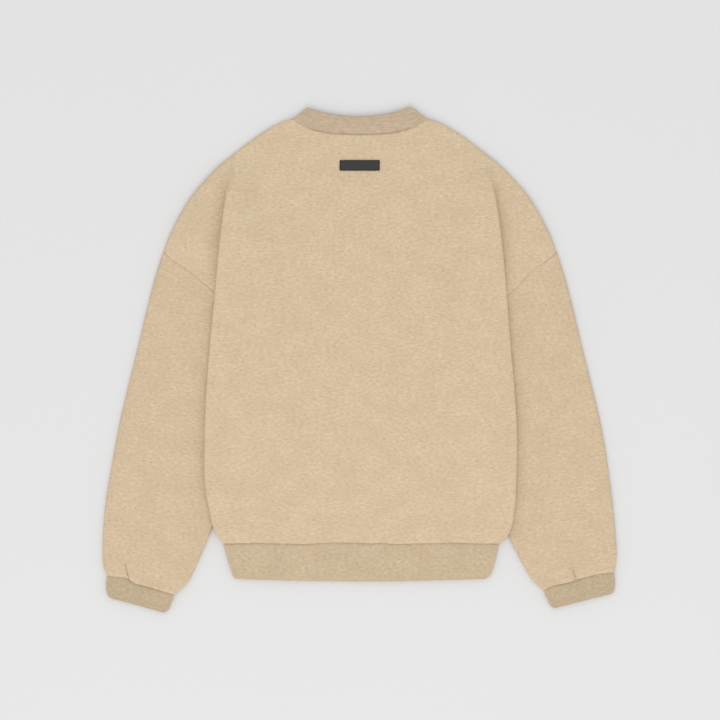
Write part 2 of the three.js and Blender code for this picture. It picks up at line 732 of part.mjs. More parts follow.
const hemLine = [{ x: -1, y: BACK_ROWS[0] }, { x: 1, y: BACK_ROWS[0] }];
const hemRibLine = [{ x: -1, y: HEM[0].y }, { x: 1, y: HEM[0].y }];
const armholeLines = [-1, 1].map((sign) => armhole.slice(1).map((p) => ({ x: sign * p.x, y: p.y })));

add('back_panel', thicken(buildBack(), FLEECE, [hemLine, ...armholeLines]), BODY_COLOR, 0.95);
add('front_panel', frontGeometry(), BODY_COLOR, 0.95);
for (const side of ['left', 'right']) {
  const sign = side === 'left' ? -1 : 1;
  const sleeveEnds = tubeEnds(sleeveRows(side), sign);
  add(`sleeve_${side}`, thicken(sleeveSheet(side), FLEECE, sleeveEnds), SLEEVE_COLOR, 0.95);
  add(`cuff_${side}`, thicken(cuffSheet(side), RIB, tubeEnds(CUFF[side], sign)), RIB_COLOR, 0.9);
}
add('hem_rib', thicken(hemSheet(), RIB, [hemRibLine]), RIB_COLOR, 0.9);
add('neck_rib', thicken(collarSheet(), RIB, []), RIB_COLOR, 0.9);
add('label_patch', labelGeometry(), LABEL_COLOR, 0.6);

export default group;
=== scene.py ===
"""Crewneck sweatshirt laid flat with its back up, dressed for rendering."""

import logging
import math
from dataclasses import dataclass, field
from enum import Enum
from typing import NamedTuple, Sequence, TypeVar

import bmesh
import bpy
import numpy as np
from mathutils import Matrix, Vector


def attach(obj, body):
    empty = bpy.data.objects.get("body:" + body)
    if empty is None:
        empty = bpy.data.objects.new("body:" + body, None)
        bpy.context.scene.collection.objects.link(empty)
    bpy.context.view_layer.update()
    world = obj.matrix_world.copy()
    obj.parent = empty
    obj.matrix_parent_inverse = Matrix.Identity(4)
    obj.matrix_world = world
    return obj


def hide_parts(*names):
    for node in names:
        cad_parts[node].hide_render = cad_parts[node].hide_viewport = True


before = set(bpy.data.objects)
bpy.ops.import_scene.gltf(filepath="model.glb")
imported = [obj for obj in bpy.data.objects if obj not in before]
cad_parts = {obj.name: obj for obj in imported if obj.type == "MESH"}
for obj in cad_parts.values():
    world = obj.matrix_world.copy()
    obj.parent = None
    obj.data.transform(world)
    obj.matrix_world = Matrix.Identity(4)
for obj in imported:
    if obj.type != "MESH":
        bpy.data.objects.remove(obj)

LOG = logging.getLogger("sweatshirt")
MM = 0.001

# Cloth walls and heights of the middle of each layer, millimetres, as in the part's solids
FLEECE = 2.4
RIB = 2.6
FRONT_Z = FLEECE / 2
LAP_Z = 3.9
LOWER_Z = 4.9
MIDDLE_Z = 7.9
BODY_Z = 6.2
SHOULDER_Z = 5.1
RIB_FRONT_Z = RIB / 2
SIDE_FOLD = 3.3
VALLEY_FOLD = (MIDDLE_Z - LOWER_Z) / 2
HEM_FOLD = 1.65
HEM_SEAM_Y = -278.0
FOLD_TOP_Y = 245.0
UNDERARM = (139.0, 50.0)
UNDERARM_ROW_Y = 54.5
ARMHOLE_END_Y = 184.0
SHOULDER_TIP = (193.0, 311.7)
LAP = 12.0
SLEEVE_CLEAR = 3.0
SLOPE_WIDTH = 62.0
EDGE_ROUND = 3.4
NECK_HALF = 103.0
NECK_CORNER_Y = 366.0
FRONT_NECK_POWER = 2.5
RIB_PITCH = 2.0
RIB_STEPS = 6
RIB_DEPTH = 0.5
RIB_ROLL = 0.55
HEM_RISE = (-276.0, -256.0)
FOLD_CLOSE_Y = 280.0

# Depth of the dip beside the side fold, and drift of the knit outwards for each millimetre down
FOLD_DIP = 0.95
KNIT_DROP = 0.8

# Distances from a rounded edge at which the cloth has its last columns
EDGE_STEPS = np.array([EDGE_ROUND, 2.7, 2.0, 1.3, 0.7, 0.25, 0.0])

# Short names for the types that the hints use
Row = TypeVar("Row")
Number = np.ndarray | float
Values = dict[str, float | tuple[float, ...]]
Material = bpy.types.Material
Piece = bpy.types.Object
Tree = bpy.types.NodeTree
Node = bpy.types.Node
Socket = bpy.types.NodeSocket


class Side(Enum):
    """Side of the garment as the camera sees it."""

    LEFT = -1
    RIGHT = 1

    @property
    def word(self) -> str:
        """Its name as the names of the pieces have it."""
        return self.name.lower()


class FoldRow(NamedTuple):
    """Outermost point of the body's side fold at one height, on both sides."""

    y: float
    left: float
    right: float


class EndRow(NamedTuple):
    """How far the side fold has opened: turn in degrees, web is its straight part."""

    y: float
    turn: float
    web: float


class Spot(NamedTuple):
    """A point of an outline."""

    x: float
    y: float


class Section(NamedTuple):
    """Outer and inner edge of one section of a sleeve or a cuff."""

    out_x: float
    out_y: float
    in_x: float
    in_y: float


class HemRow(NamedTuple):
    """One row of the hem rib: half widths, height, and how far its middle hangs down."""

    left: float
    right: float
    y: float
    dip: float


class CollarRow(NamedTuple):
    """One row of the collar: corner, and its lowest points at the back and at the front."""

    half: float
    corner_y: float
    back_y: float
    front_y: float


class Crease(NamedTuple):
    """A soft ridge (height above 0) or trough between two points, with its own width."""

    x0: float
    y0: float
    x1: float
    y1: float
    width: float
    height: float


class SeamLine(NamedTuple):
    """A ridge (height above 0) or trough along a seam, at a distance from it."""

    at: float
    width: float
    height: float


class Puff(NamedTuple):
    """Swell of the cloth beside the side fold: where it starts and is full, and its height."""

    near: float
    far: float
    height: float


def rows_of(kind: type[Row], *rows: tuple[float, ...]) -> tuple[Row, ...]:
    """Rows of a table, each with its columns named."""
    return tuple(kind(*row) for row in rows)


SIDE_FOLD_ROWS = rows_of(
    FoldRow,
    (-278, 207.5, 211.6), (-268, 213.8, 222.4), (-255, 221.6, 228.8), (-223, 229.2, 234.6),
    (-188, 234.9, 236.8), (-118, 235.6, 238.1), (-48, 233, 234.3), (21, 227.8, 228.4), (91, 221, 223.1),
    (155, 215.2, 217.6), (208, 209.2, 211.3), (245, 203.8, 205.6), (261, 201.6, 202.8), (312, 193, 193),
)
FOLD_END_ROWS = rows_of(
    EndRow,
    (245, 180, 0.6), (252, 164, 0.9), (257, 134, 1.6), (262, 96, 3.2), (269, 62, 6.5), (279, 36, 8),
    (292, 15, 6), (303, 4, 3), (311.7, 0, 0),
)
NECK_SEAM = rows_of(
    Spot,
    (0, 340.4), (35, 341.7), (51, 343.4), (69, 347.3), (85, 353.7), (103, 366),
)
SHOULDER = rows_of(
    Spot,
    (103, 366), (125, 359), (140, 350), (156, 340), (168, 331), (180, 322), (193, 311.7), (213, 296),
    (232, 276), (250, 256), (263, 237.5), (274, 219), (283, 201), (292, 182), (298.7, 163.4),
)
SLEEVE_UPPER = rows_of(
    Section,
    (298.7, 163.4, 139, 50), (310, 128, 149, 18), (320, 91, 158, -14), (328.6, 55, 167, -46),
    (337.3, 18, 175.5, -78), (346.3, -18, 184, -110), (355.4, -55, 193, -143), (363.8, -91, 202, -176),
    (371, -128, 211, -210),
)
SLEEVE_LOWER = {
    Side.LEFT: rows_of(
        Section,
        (377.5, -164, 220, -244), (384, -201, 231, -272), (388.2, -237, 243, -300),
        (390.3, -274, 256, -328), (390.5, -296, 264.5, -341.5), (389, -315, 274.4, -350.5),
        (383.8, -326.6, 281, -356.3),
    ),
    Side.RIGHT: rows_of(
        Section,
        (376.5, -164, 220, -249), (381.5, -201, 228.4, -274), (385.4, -237, 239.6, -296),
        (388.4, -274, 251.8, -318), (389.4, -292, 260.6, -332.5), (388.6, -309, 270, -342.5),
        (385.6, -321.6, 278.6, -348.2),
    ),
}
CUFF_ROWS = {
    Side.LEFT: rows_of(
        Section,
        (383.8, -326.8, 281, -356.5), (385.4, -337, 283.6, -362.5), (385.4, -349, 286.8, -369.5),
        (383, -357, 290.5, -378.5), (376.5, -361, 297.2, -383),
    ),
    Side.RIGHT: rows_of(
        Section,
        (385.6, -321.8, 278.6, -348.4), (386.6, -332, 280.4, -354.5), (387.2, -343, 284, -362),
        (386, -349.4, 288.2, -371.5), (382, -354, 294, -376.4),
    ),
}
HEM_ROWS = rows_of(
    HemRow,
    (207.5, 211.6, -278.1, 0), (205.2, 209.2, -287, 0.2), (202.2, 207, -298, 0.5),
    (198, 203.4, -313, 1), (194, 198.8, -325, 2.4), (190.2, 191.6, -331.2, 4.2),
)
COLLAR_ROWS = rows_of(
    CollarRow,
    (103, 366, 340.6, 281.2), (97.6, 369.8, 348, 288), (91.8, 374.2, 355.3, 295), (86, 379, 362.7, 302),
    (80.2, 383.6, 369.4, 308.6),
)

# How much looser the side fold rolls below the shoulder, and how far its roll reaches sideways
LOOSE_FOLD = {Side.LEFT: 2.8, Side.RIGHT: 1.8}
TIGHT_REACH = 1.9

# How far the foot of the roll is tucked in under it below the shoulder
TUCK = {Side.LEFT: 4.2, Side.RIGHT: 2.6}

# Heights between which the fold loosens, reaches out sideways, and the middle of the back sinks
LOOSE_SPAN = (130.0, 205.0)
REACH_SPAN = (250.0, 266.0)
SINK_SPAN = (210.0, 300.0)

# Heights over which each of these comes in and goes out again, from the hem up
TUCK_SPANS = ((120.0, 190.0), (246.0, 262.0))
BULGE_SPANS = ((HEM_SEAM_Y - 1, -266.0), (-262.0, -205.0))
BULGE = 0.9
DIP_SPANS = ((110.0, 150.0), (284.0, 304.0))
SLEEVE_DIP_SPANS = ((-285.0, -262.0), (130.0, 160.0))

# How the hem seam wanders from a straight line: place across, and millimetres up
HEM_SEAM_WANDER = rows_of(
    Spot,
    (-207, 0), (-161, 0.6), (-106, -0.8), (-79, -0.7), (-52, 0.8), (-29, 1.5), (-6, 1.0), (18, -0.2),
    (32, 0.9), (58, -1.4), (85, 0), (122, 0.4), (140, 1.3), (158, 0.4), (206, 0),
)

# How far the armhole seam hangs below a straight line: share from its outer end, millimetres
ARMHOLE_SAG = {
    Side.LEFT: (
        (0, 0), (0.08, 1.5), (0.17, 1), (0.29, 1.5), (0.42, 4.7), (0.47, 6.4), (0.6, 8), (0.8, 5), (1, 0),
    ),
    Side.RIGHT: (
        (0, 0), (0.06, 1.6), (0.2, 1.6), (0.32, 6.2), (0.39, 10.2), (0.46, 13.8), (0.6, 16), (0.8, 9),
        (1, 0),
    ),
}

# How the cuff seam wanders from a straight line: share from the outer edge, and millimetres up
CUFF_SEAM_WANDER = {
    Side.LEFT: (
        (0, 0.6), (0.19, 3.8), (0.3, 5), (0.355, 2.5), (0.41, 0.5), (0.55, 1.2), (0.8, 0.9), (1, 0.6),
    ),
    Side.RIGHT: (
        (0, 0.6), (0.17, 3.2), (0.33, 3.7), (0.5, 3.4), (0.6, 2.5), (0.72, 2.1), (0.88, 3), (1, 0.6),
    ),
}

# Ridges and troughs along the seams
HEM_BEAD = rows_of(SeamLine, (3.2, 2.4, 0.7))
NECK_LINES = rows_of(SeamLine, (0, 0.7, -0.9), (1.5, 1.1, 0.9))
ARMHOLE_LINES = rows_of(SeamLine, (0, 1.5, -1.25), (3.6, 1.8, 0.35))
ARMHOLE_SLEEVE_LINE = rows_of(SeamLine, (0, 1.4, -1.2))
CUFF_LINE = rows_of(SeamLine, (0, 1.3, -1.7))
CUFF_PUFF = rows_of(SeamLine, (6, 5, 0.8))
SHOULDER_PUFF = {Side.LEFT: Puff(3, 26, 2.9), Side.RIGHT: Puff(14, 60, 1.7)}

# Soft folds of the body, in uneven lengths, depths and spacing
BODY_CREASES = rows_of(
    Crease,
    (13, -276, 9, -222, 2.6, -0.9), (18, -276, 17, -226, 4.5, 0.6), (3, -274, 0, -160, 9, 0.7),
    (-56, -276, -58, -240, 2.4, -0.8), (-61, -274, -66, -150, 8, -0.7), (-44, -270, -40, -168, 10, 0.7),
    (-118, -274, -121, -226, 9, 1.0), (-133, -262, -128, -120, 14, -0.8),
    (-92, -276, -95, -238, 5, -0.5), (-168, -274, -160, -232, 8, -0.6), (62, -275, 60, -196, 9, -0.5),
    (84, -276, 86, -250, 3.5, -0.5), (96, -270, 104, -190, 12, 0.7), (137, -274, 132, -205, 8, -0.7),
    (176, -276, 171, -238, 4, -0.6), (188, -262, 190, -180, 12, 0.6), (-182, 262, -150, 150, 15, -0.6),
    (186, 262, 160, 140, 15, -0.6), (-90, 60, 40, 20, 30, 0.5), (-20, 190, 110, 150, 34, -0.5),
    (60, -70, 160, -20, 30, 0.5),
)

# Soft folds of the sleeves by side; the first rows are the tucks at the cuff seam
SLEEVE_CREASES = {
    Side.LEFT: rows_of(
        Crease,
        (349.5, -336, 361, -297, 1.5, -3.0), (346, -333, 350, -303, 5, 1.1),
        (361, -330, 364, -302, 5, 0.9), (333, -342, 341, -306, 3.5, -0.7),
        (318, -345, 325, -318, 3.2, -0.5), (304, -348, 305, -320, 4, -0.6),
        (371, -326, 374, -296, 4, -0.6), (345, -285, 262, -262, 13, -0.6),
        (370, -250, 300, -228, 16, 0.5), (352, -120, 292, -60, 20, -0.5), (338, 20, 268, 60, 20, -0.5),
        (300, 110, 262, 60, 14, 0.4),
    ),
    Side.RIGHT: rows_of(
        Crease,
        (327.5, -336, 321.5, -304, 1.4, -2.6), (320, -333, 315, -303, 5, 0.9),
        (334, -330, 333, -300, 5, 0.9), (348, -328, 350, -300, 3.6, -0.6),
        (303, -340, 300, -316, 3.6, -0.6), (366, -324, 370, -292, 4.2, -0.6),
        (352, -276, 274, -262, 13, -0.6), (366, -232, 296, -214, 16, 0.5),
        (356, -110, 300, -46, 20, -0.5), (334, 34, 270, 66, 20, -0.5), (304, 104, 264, 58, 14, 0.4),
    ),
}


@dataclass(frozen=True)
class Curve:
    """Soft curve through the rows of a table."""

    keys: tuple[float, ...]
    values: tuple[float, ...]

    @classmethod
    def of(cls, rows: Sequence[NamedTuple], key: str, value: str) -> "Curve":
        """Curve of one column of a table over another.

        Args:
            rows: the table.
            key: name of the column that is walked along.
            value: name of the column that is read.

        Returns:
            The curve, with its keys in rising order.
        """
        pairs = sorted((getattr(r, key), getattr(r, value)) for r in rows)
        return cls(tuple(float(k) for k, _ in pairs), tuple(float(v) for _, v in pairs))

    def __call__(self, at: Number) -> np.ndarray:
        """Values at the given keys, held at the ends."""
        k = np.asarray(self.keys)
        v = np.asarray(self.values)
        slope = np.empty_like(v)
        slope[1:-1] = (v[2:] - v[:-2]) / (k[2:] - k[:-2])
        slope[0] = (v[1] - v[0]) / (k[1] - k[0])
        slope[-1] = (v[-1] - v[-2]) / (k[-1] - k[-2])
        at = np.asarray(at, float)
        i = np.clip(np.searchsorted(k, at) - 1, 0, len(k) - 2)
        span = k[i + 1] - k[i]
        t = np.clip((at - k[i]) / span, 0, 1)
        t2, t3 = t * t, t * t * t
        return (
            (2 * t3 - 3 * t2 + 1) * v[i]
            + (t3 - 2 * t2 + t) * span * slope[i]
            + (3 * t2 - 2 * t3) * v[i + 1]
            + (t3 - t2) * span * slope[i + 1]
        )


def table_curve(rows: Sequence[tuple[float, float]]) -> Curve:
    """Curve through pairs of a place and a value."""
    return Curve(tuple(float(a) for a, _ in rows), tuple(float(b) for _, b in rows))


def ramp(x: Number, low: Number, high: Number) -> np.ndarray:
    """Smooth step from 0 at low to 1 at high."""
    t = np.clip((np.asarray(x, float) - low) / (np.asarray(high, float) - low), 0, 1)
    return t * t * (3 - 2 * t)


def window(x: Number, rise: tuple[float, float], fall: tuple[float, float]) -> np.ndarray:
    """Share that rises smoothly to 1 over one span and falls back to 0 over the other."""
    return ramp(x, *rise) * (1 - ramp(x, *fall))


def mix(a: Number, b: Number, t: Number) -> np.ndarray:
    """Value between a and b at share t."""
    return a + (b - a) * t


def bell(d: Number, width: float) -> np.ndarray:
    """Soft bump: 1 where d is 0, and almost nothing from twice the width on."""
    return np.exp(-((d / width) ** 2))


def line_relief(lines: Sequence[SeamLine], d: np.ndarray) -> np.ndarray:
    """Height that the ridges and troughs of a seam give to the cloth at a distance from it."""
    return sum(line.height * bell(d - line.at, line.width) for line in lines)


def path_array(spots: Sequence[Spot]) -> np.ndarray:
    """Outline points as an array of x and y."""
    return np.array([(s.x, s.y) for s in spots], float)


def offset_path(path: np.ndarray, distance: float) -> np.ndarray:
    """Path moved sideways, to its right as it is walked.

    Args:
        path: points, one to a row.
        distance: how far, in the path's own units.

    Returns:
        The moved points.
    """
    ahead = np.vstack([path[1:], path[-1:]])
    behind = np.vstack([path[:1], path[:-1]])
    way = ahead - behind
    way /= np.linalg.norm(way, axis=1, keepdims=True)
    return path + np.column_stack([way[:, 1], -way[:, 0]]) * distance


def lengths_along(path: np.ndarray) -> np.ndarray:
    """Length walked along a path at each of its points."""
    return np.concatenate([[0], np.cumsum(np.linalg.norm(np.diff(path, axis=0), axis=1))])


def smooth_path(path: np.ndarray, count: int) -> np.ndarray:
    """Path drawn again as a soft curve with evenly spaced points.

    Args:
        path: the given points.
        count: number of points wanted.

    Returns:
        The new points, with the same ends.
    """
    s = lengths_along(path)
    at = np.linspace(0, s[-1], count)
    return np.column_stack([Curve(tuple(s), tuple(path[:, k]))(at) for k in (0, 1)])


def relax(path: np.ndarray, rounds: int) -> np.ndarray:
    """Path with its small corners smoothed away; its ends stay."""
    path = path.copy()
    for _ in range(rounds):
        path[1:-1] = (path[:-2] + 2 * path[1:-1] + path[2:]) / 4
    return path


def on_path(path: np.ndarray, share: float) -> np.ndarray:
    """Point at a share of a path's length."""
    s = lengths_along(path)
    return np.array([np.interp(share * s[-1], s, path[:, k]) for k in (0, 1)])


def distance_to(path: np.ndarray, x: np.ndarray, y: np.ndarray) -> np.ndarray:
    """Distance from each point to a path.

    Args:
        path: points of the path.
        x: the points' x values.
        y: the points' y values, of the same shape.

    Returns:
        Distances of the same shape.
    """
    best = np.full(np.shape(x), 1e9)
    for a, b in zip(path[:-1], path[1:]):
        d = b - a
        t = np.clip(((x - a[0]) * d[0] + (y - a[1]) * d[1]) / (d @ d), 0, 1)
        best = np.minimum(best, np.hypot(x - a[0] - t * d[0], y - a[1] - t * d[1]))
    return best


def crease_relief(creases: Sequence[Crease], x: np.ndarray, y: np.ndarray) -> np.ndarray:
    """Height that a set of creases gives to the cloth.

    Args:
        creases: the creases.
        x: the points' x values.
        y: the points' y values.

    Returns:
        Heights in millimetres.
    """
    z = np.zeros(np.shape(x))
    for n, c in enumerate(creases):
        dx, dy = c.x1 - c.x0, c.y1 - c.y0
        length = math.hypot(dx, dy)
        along = ((x - c.x0) * dx + (y - c.y0) * dy) / length**2
        across = ((x - c.x0) * dy - (y - c.y0) * dx) / length
        across = across + 0.06 * length * np.sin(2.6 * along + n) * np.clip(along, 0, 1)
        ends = window(along, (-0.1, 0.12), (0.45, 1.05))
        z += c.height * bell(across, c.width) * ends
    return z


def ripple(x: np.ndarray, y: np.ndarray, phase: float) -> np.ndarray:
    """Slow uneven waves of cloth that lies on a surface, in millimetres."""
    return (
        0.22 * np.sin(x / 41 + 0.6 * np.sin(y / 57 + phase) + phase)
        + 0.18 * np.sin(y / 33 + 0.8 * np.sin(x / 49 - phase) + 2 * phase)
        + 0.10 * np.sin((x + y) / 17 + phase) * np.sin((x - 1.3 * y) / 23)
    )


def pucker(along: np.ndarray, distance: np.ndarray, phase: float) -> np.ndarray:
    """Small uneven waves that a seam draws into the cloth beside it."""
    wave = np.sin(along / 2.9 + 1.7 * np.sin(along / 11.3 + phase)) + 0.6 * np.sin(along / 1.37 + phase)
    return 0.16 * wave * bell(distance, 5.0)


@dataclass
class Sheet:
    """Middle surface of one piece of cloth.

    points are in millimetres, flat is each point's place on the knit, and faces are its
    quads and triangles, seen from the outside.
    """

    points: np.ndarray
    flat: np.ndarray
    faces: list[tuple[int, ...]]

    @classmethod
    def from_grids(cls, grids: Sequence[tuple[np.ndarray, np.ndarray, bool, bool]]) -> "Sheet":
        """Joins grids of points into one surface, shared where they meet.

        Args:
            grids: for each grid its points (rows, columns, 3), its places on the knit
                (rows, columns, 2), whether its columns close into a ring, and whether it
                is mirrored. Points that are not numbers are left out.

        Returns:
            The surface.
        """
        points, flats, faces, start = [], [], [], 0
        for pts, flat, closed, mirrored in grids:
            rows, cols = pts.shape[:2]
            index = np.arange(rows * cols).reshape(rows, cols) + start
            nxt = np.roll(index, -1, axis=1) if closed else index[:, 1:]
            here = index if closed else index[:, :-1]
            quads = np.stack([here[:-1], nxt[:-1], nxt[1:], here[1:]], axis=-1).reshape(-1, 4)
            if mirrored:
                quads = quads[:, ::-1]
            points.append(pts.reshape(-1, 3))
            flats.append(flat.reshape(-1, 2))
            faces.append(quads)
            start += rows * cols
        points, flats, quads = np.vstack(points), np.vstack(flats), np.vstack(faces)
        good = ~np.isnan(points).any(axis=1)
        quads = quads[good[quads].all(axis=1)]
        keys = np.round(np.nan_to_num(points, nan=1e6), 4)
        _, first, inverse = np.unique(keys, axis=0, return_index=True, return_inverse=True)
        quads = inverse.reshape(-1)[quads]
        used = np.unique(quads)
        renumber = np.full(len(first), -1)
        renumber[used] = np.arange(len(used))
        out = []
        for q in renumber[quads]:
            ring = [int(v) for k, v in enumerate(q) if v != q[k - 1]]
            if len(set(ring)) >= 3:
                out.append(tuple(ring))
        return cls(points[first][used], flats[first][used], out)

    @classmethod
    def tube(cls, rings: Sequence[np.ndarray], flats: Sequence[np.ndarray]) -> "Sheet":
        """Joins closed rings into one surface that faces outwards.

        Args:
            rings: points of each ring.
            flats: their places on the knit.

        Returns:
            The surface.
        """
        sheet = cls.from_grids([(np.array(rings), np.array(flats), True, False)])
        if sheet.normals()[np.argmax(sheet.points[:, 2])][2] < 0:
            sheet.faces = [f[::-1] for f in sheet.faces]
        return sheet

    def corner_lists(self) -> tuple[np.ndarray, np.ndarray]:
        """Every directed edge of the faces, as two arrays of point numbers."""
        a = np.array([v for f in self.faces for v in f])
        b = np.array([v for f in self.faces for v in f[1:] + f[:1]])
        return a, b

    def normals(self) -> np.ndarray:
        """Outward direction at each point."""
        n = np.zeros_like(self.points)
        quads = np.array([f if len(f) == 4 else f + f[:1] for f in self.faces])
        p = self.points
        cross = np.cross(p[quads[:, 2]] - p[quads[:, 0]], p[quads[:, 3]] - p[quads[:, 1]])
        tri = np.array([len(f) == 3 for f in self.faces])
        if tri.any():
            q = quads[tri]
            cross[tri] = np.cross(p[q[:, 1]] - p[q[:, 0]], p[q[:, 2]] - p[q[:, 0]])
        for k in range(4):
            np.add.at(n, quads[:, k], cross)
        return n / np.maximum(np.linalg.norm(n, axis=1, keepdims=True), 1e-9)

    def area(self) -> float:
        """Area of the middle surface in square metres."""
        p, total = self.points, 0.0
        for f in self.faces:
            for k in range(1, len(f) - 1):
                total += np.linalg.norm(np.cross(p[f[k]] - p[f[0]], p[f[k + 1]] - p[f[0]])) / 2
        return total * MM * MM

    def thicken(self, outer: np.ndarray, inner: np.ndarray, roll: float) -> "Sheet":
        """Gives the surface its wall and closes its free edges with a rounded rim.

        Args:
            outer: distance of the outer face from the middle at each point.
            inner: distance of the inner face.
            roll: how far the rim stands out past the edge.

        Returns:
            The closed wall.
        """
        n = self.normals()
        count = len(self.points)
        a, b = self.corner_lists()
        lone = ~np.isin(a * count + b, b * count + a)
        ea, eb = a[lone], b[lone]
        side = np.cross(self.points[eb] - self.points[ea], n[ea])
        out = np.zeros_like(self.points)
        np.add.at(out, ea, side)
        np.add.at(out, eb, side)
        edge = np.unique(np.concatenate([ea, eb]))
        out = out[edge] / np.maximum(np.linalg.norm(out[edge], axis=1, keepdims=True), 1e-9)
        place = np.full(count, -1)
        place[edge] = 2 * count + np.arange(len(edge))
        top = self.points + n * outer[:, None]
        low = self.points - n * inner[:, None]
        rim = self.points[edge] + out * roll
        faces = list(self.faces)
        faces += [tuple(v + count for v in reversed(f)) for f in self.faces]
        for p, q in zip(ea.tolist(), eb.tolist()):
            faces.append((p + count, q + count, int(place[q]), int(place[p])))
            faces.append((int(place[p]), int(place[q]), q, p))
        points = np.vstack([top, low, rim])
        points[:, 2] = np.maximum(points[:, 2], 0)
        return Sheet(points, np.vstack([self.flat, self.flat, self.flat[edge]]), faces)

    def to_object(self, name: str, material: Material) -> Piece:
        """Makes the scene's object of a closed wall.

        Args:
            name: name of the piece.
            material: its finish.

        Returns:
            The object, at the origin, with the knit's places as its UV map in metres.
        """
        mesh = bpy.data.meshes.new(name)
        mesh.from_pydata((self.points * MM).tolist(), [], self.faces)
        corner = np.zeros(len(mesh.loops), np.int32)
        mesh.loops.foreach_get("vertex_index", corner)
        layer = mesh.uv_layers.new(name="knit")
        layer.data.foreach_set("uv", (self.flat[corner] * MM).astype(np.float32).ravel())
        mesh.shade_smooth()
        mesh.materials.append(material)
        obj = bpy.data.objects.new(name, mesh)
        bpy.context.scene.collection.objects.link(obj)
        return obj


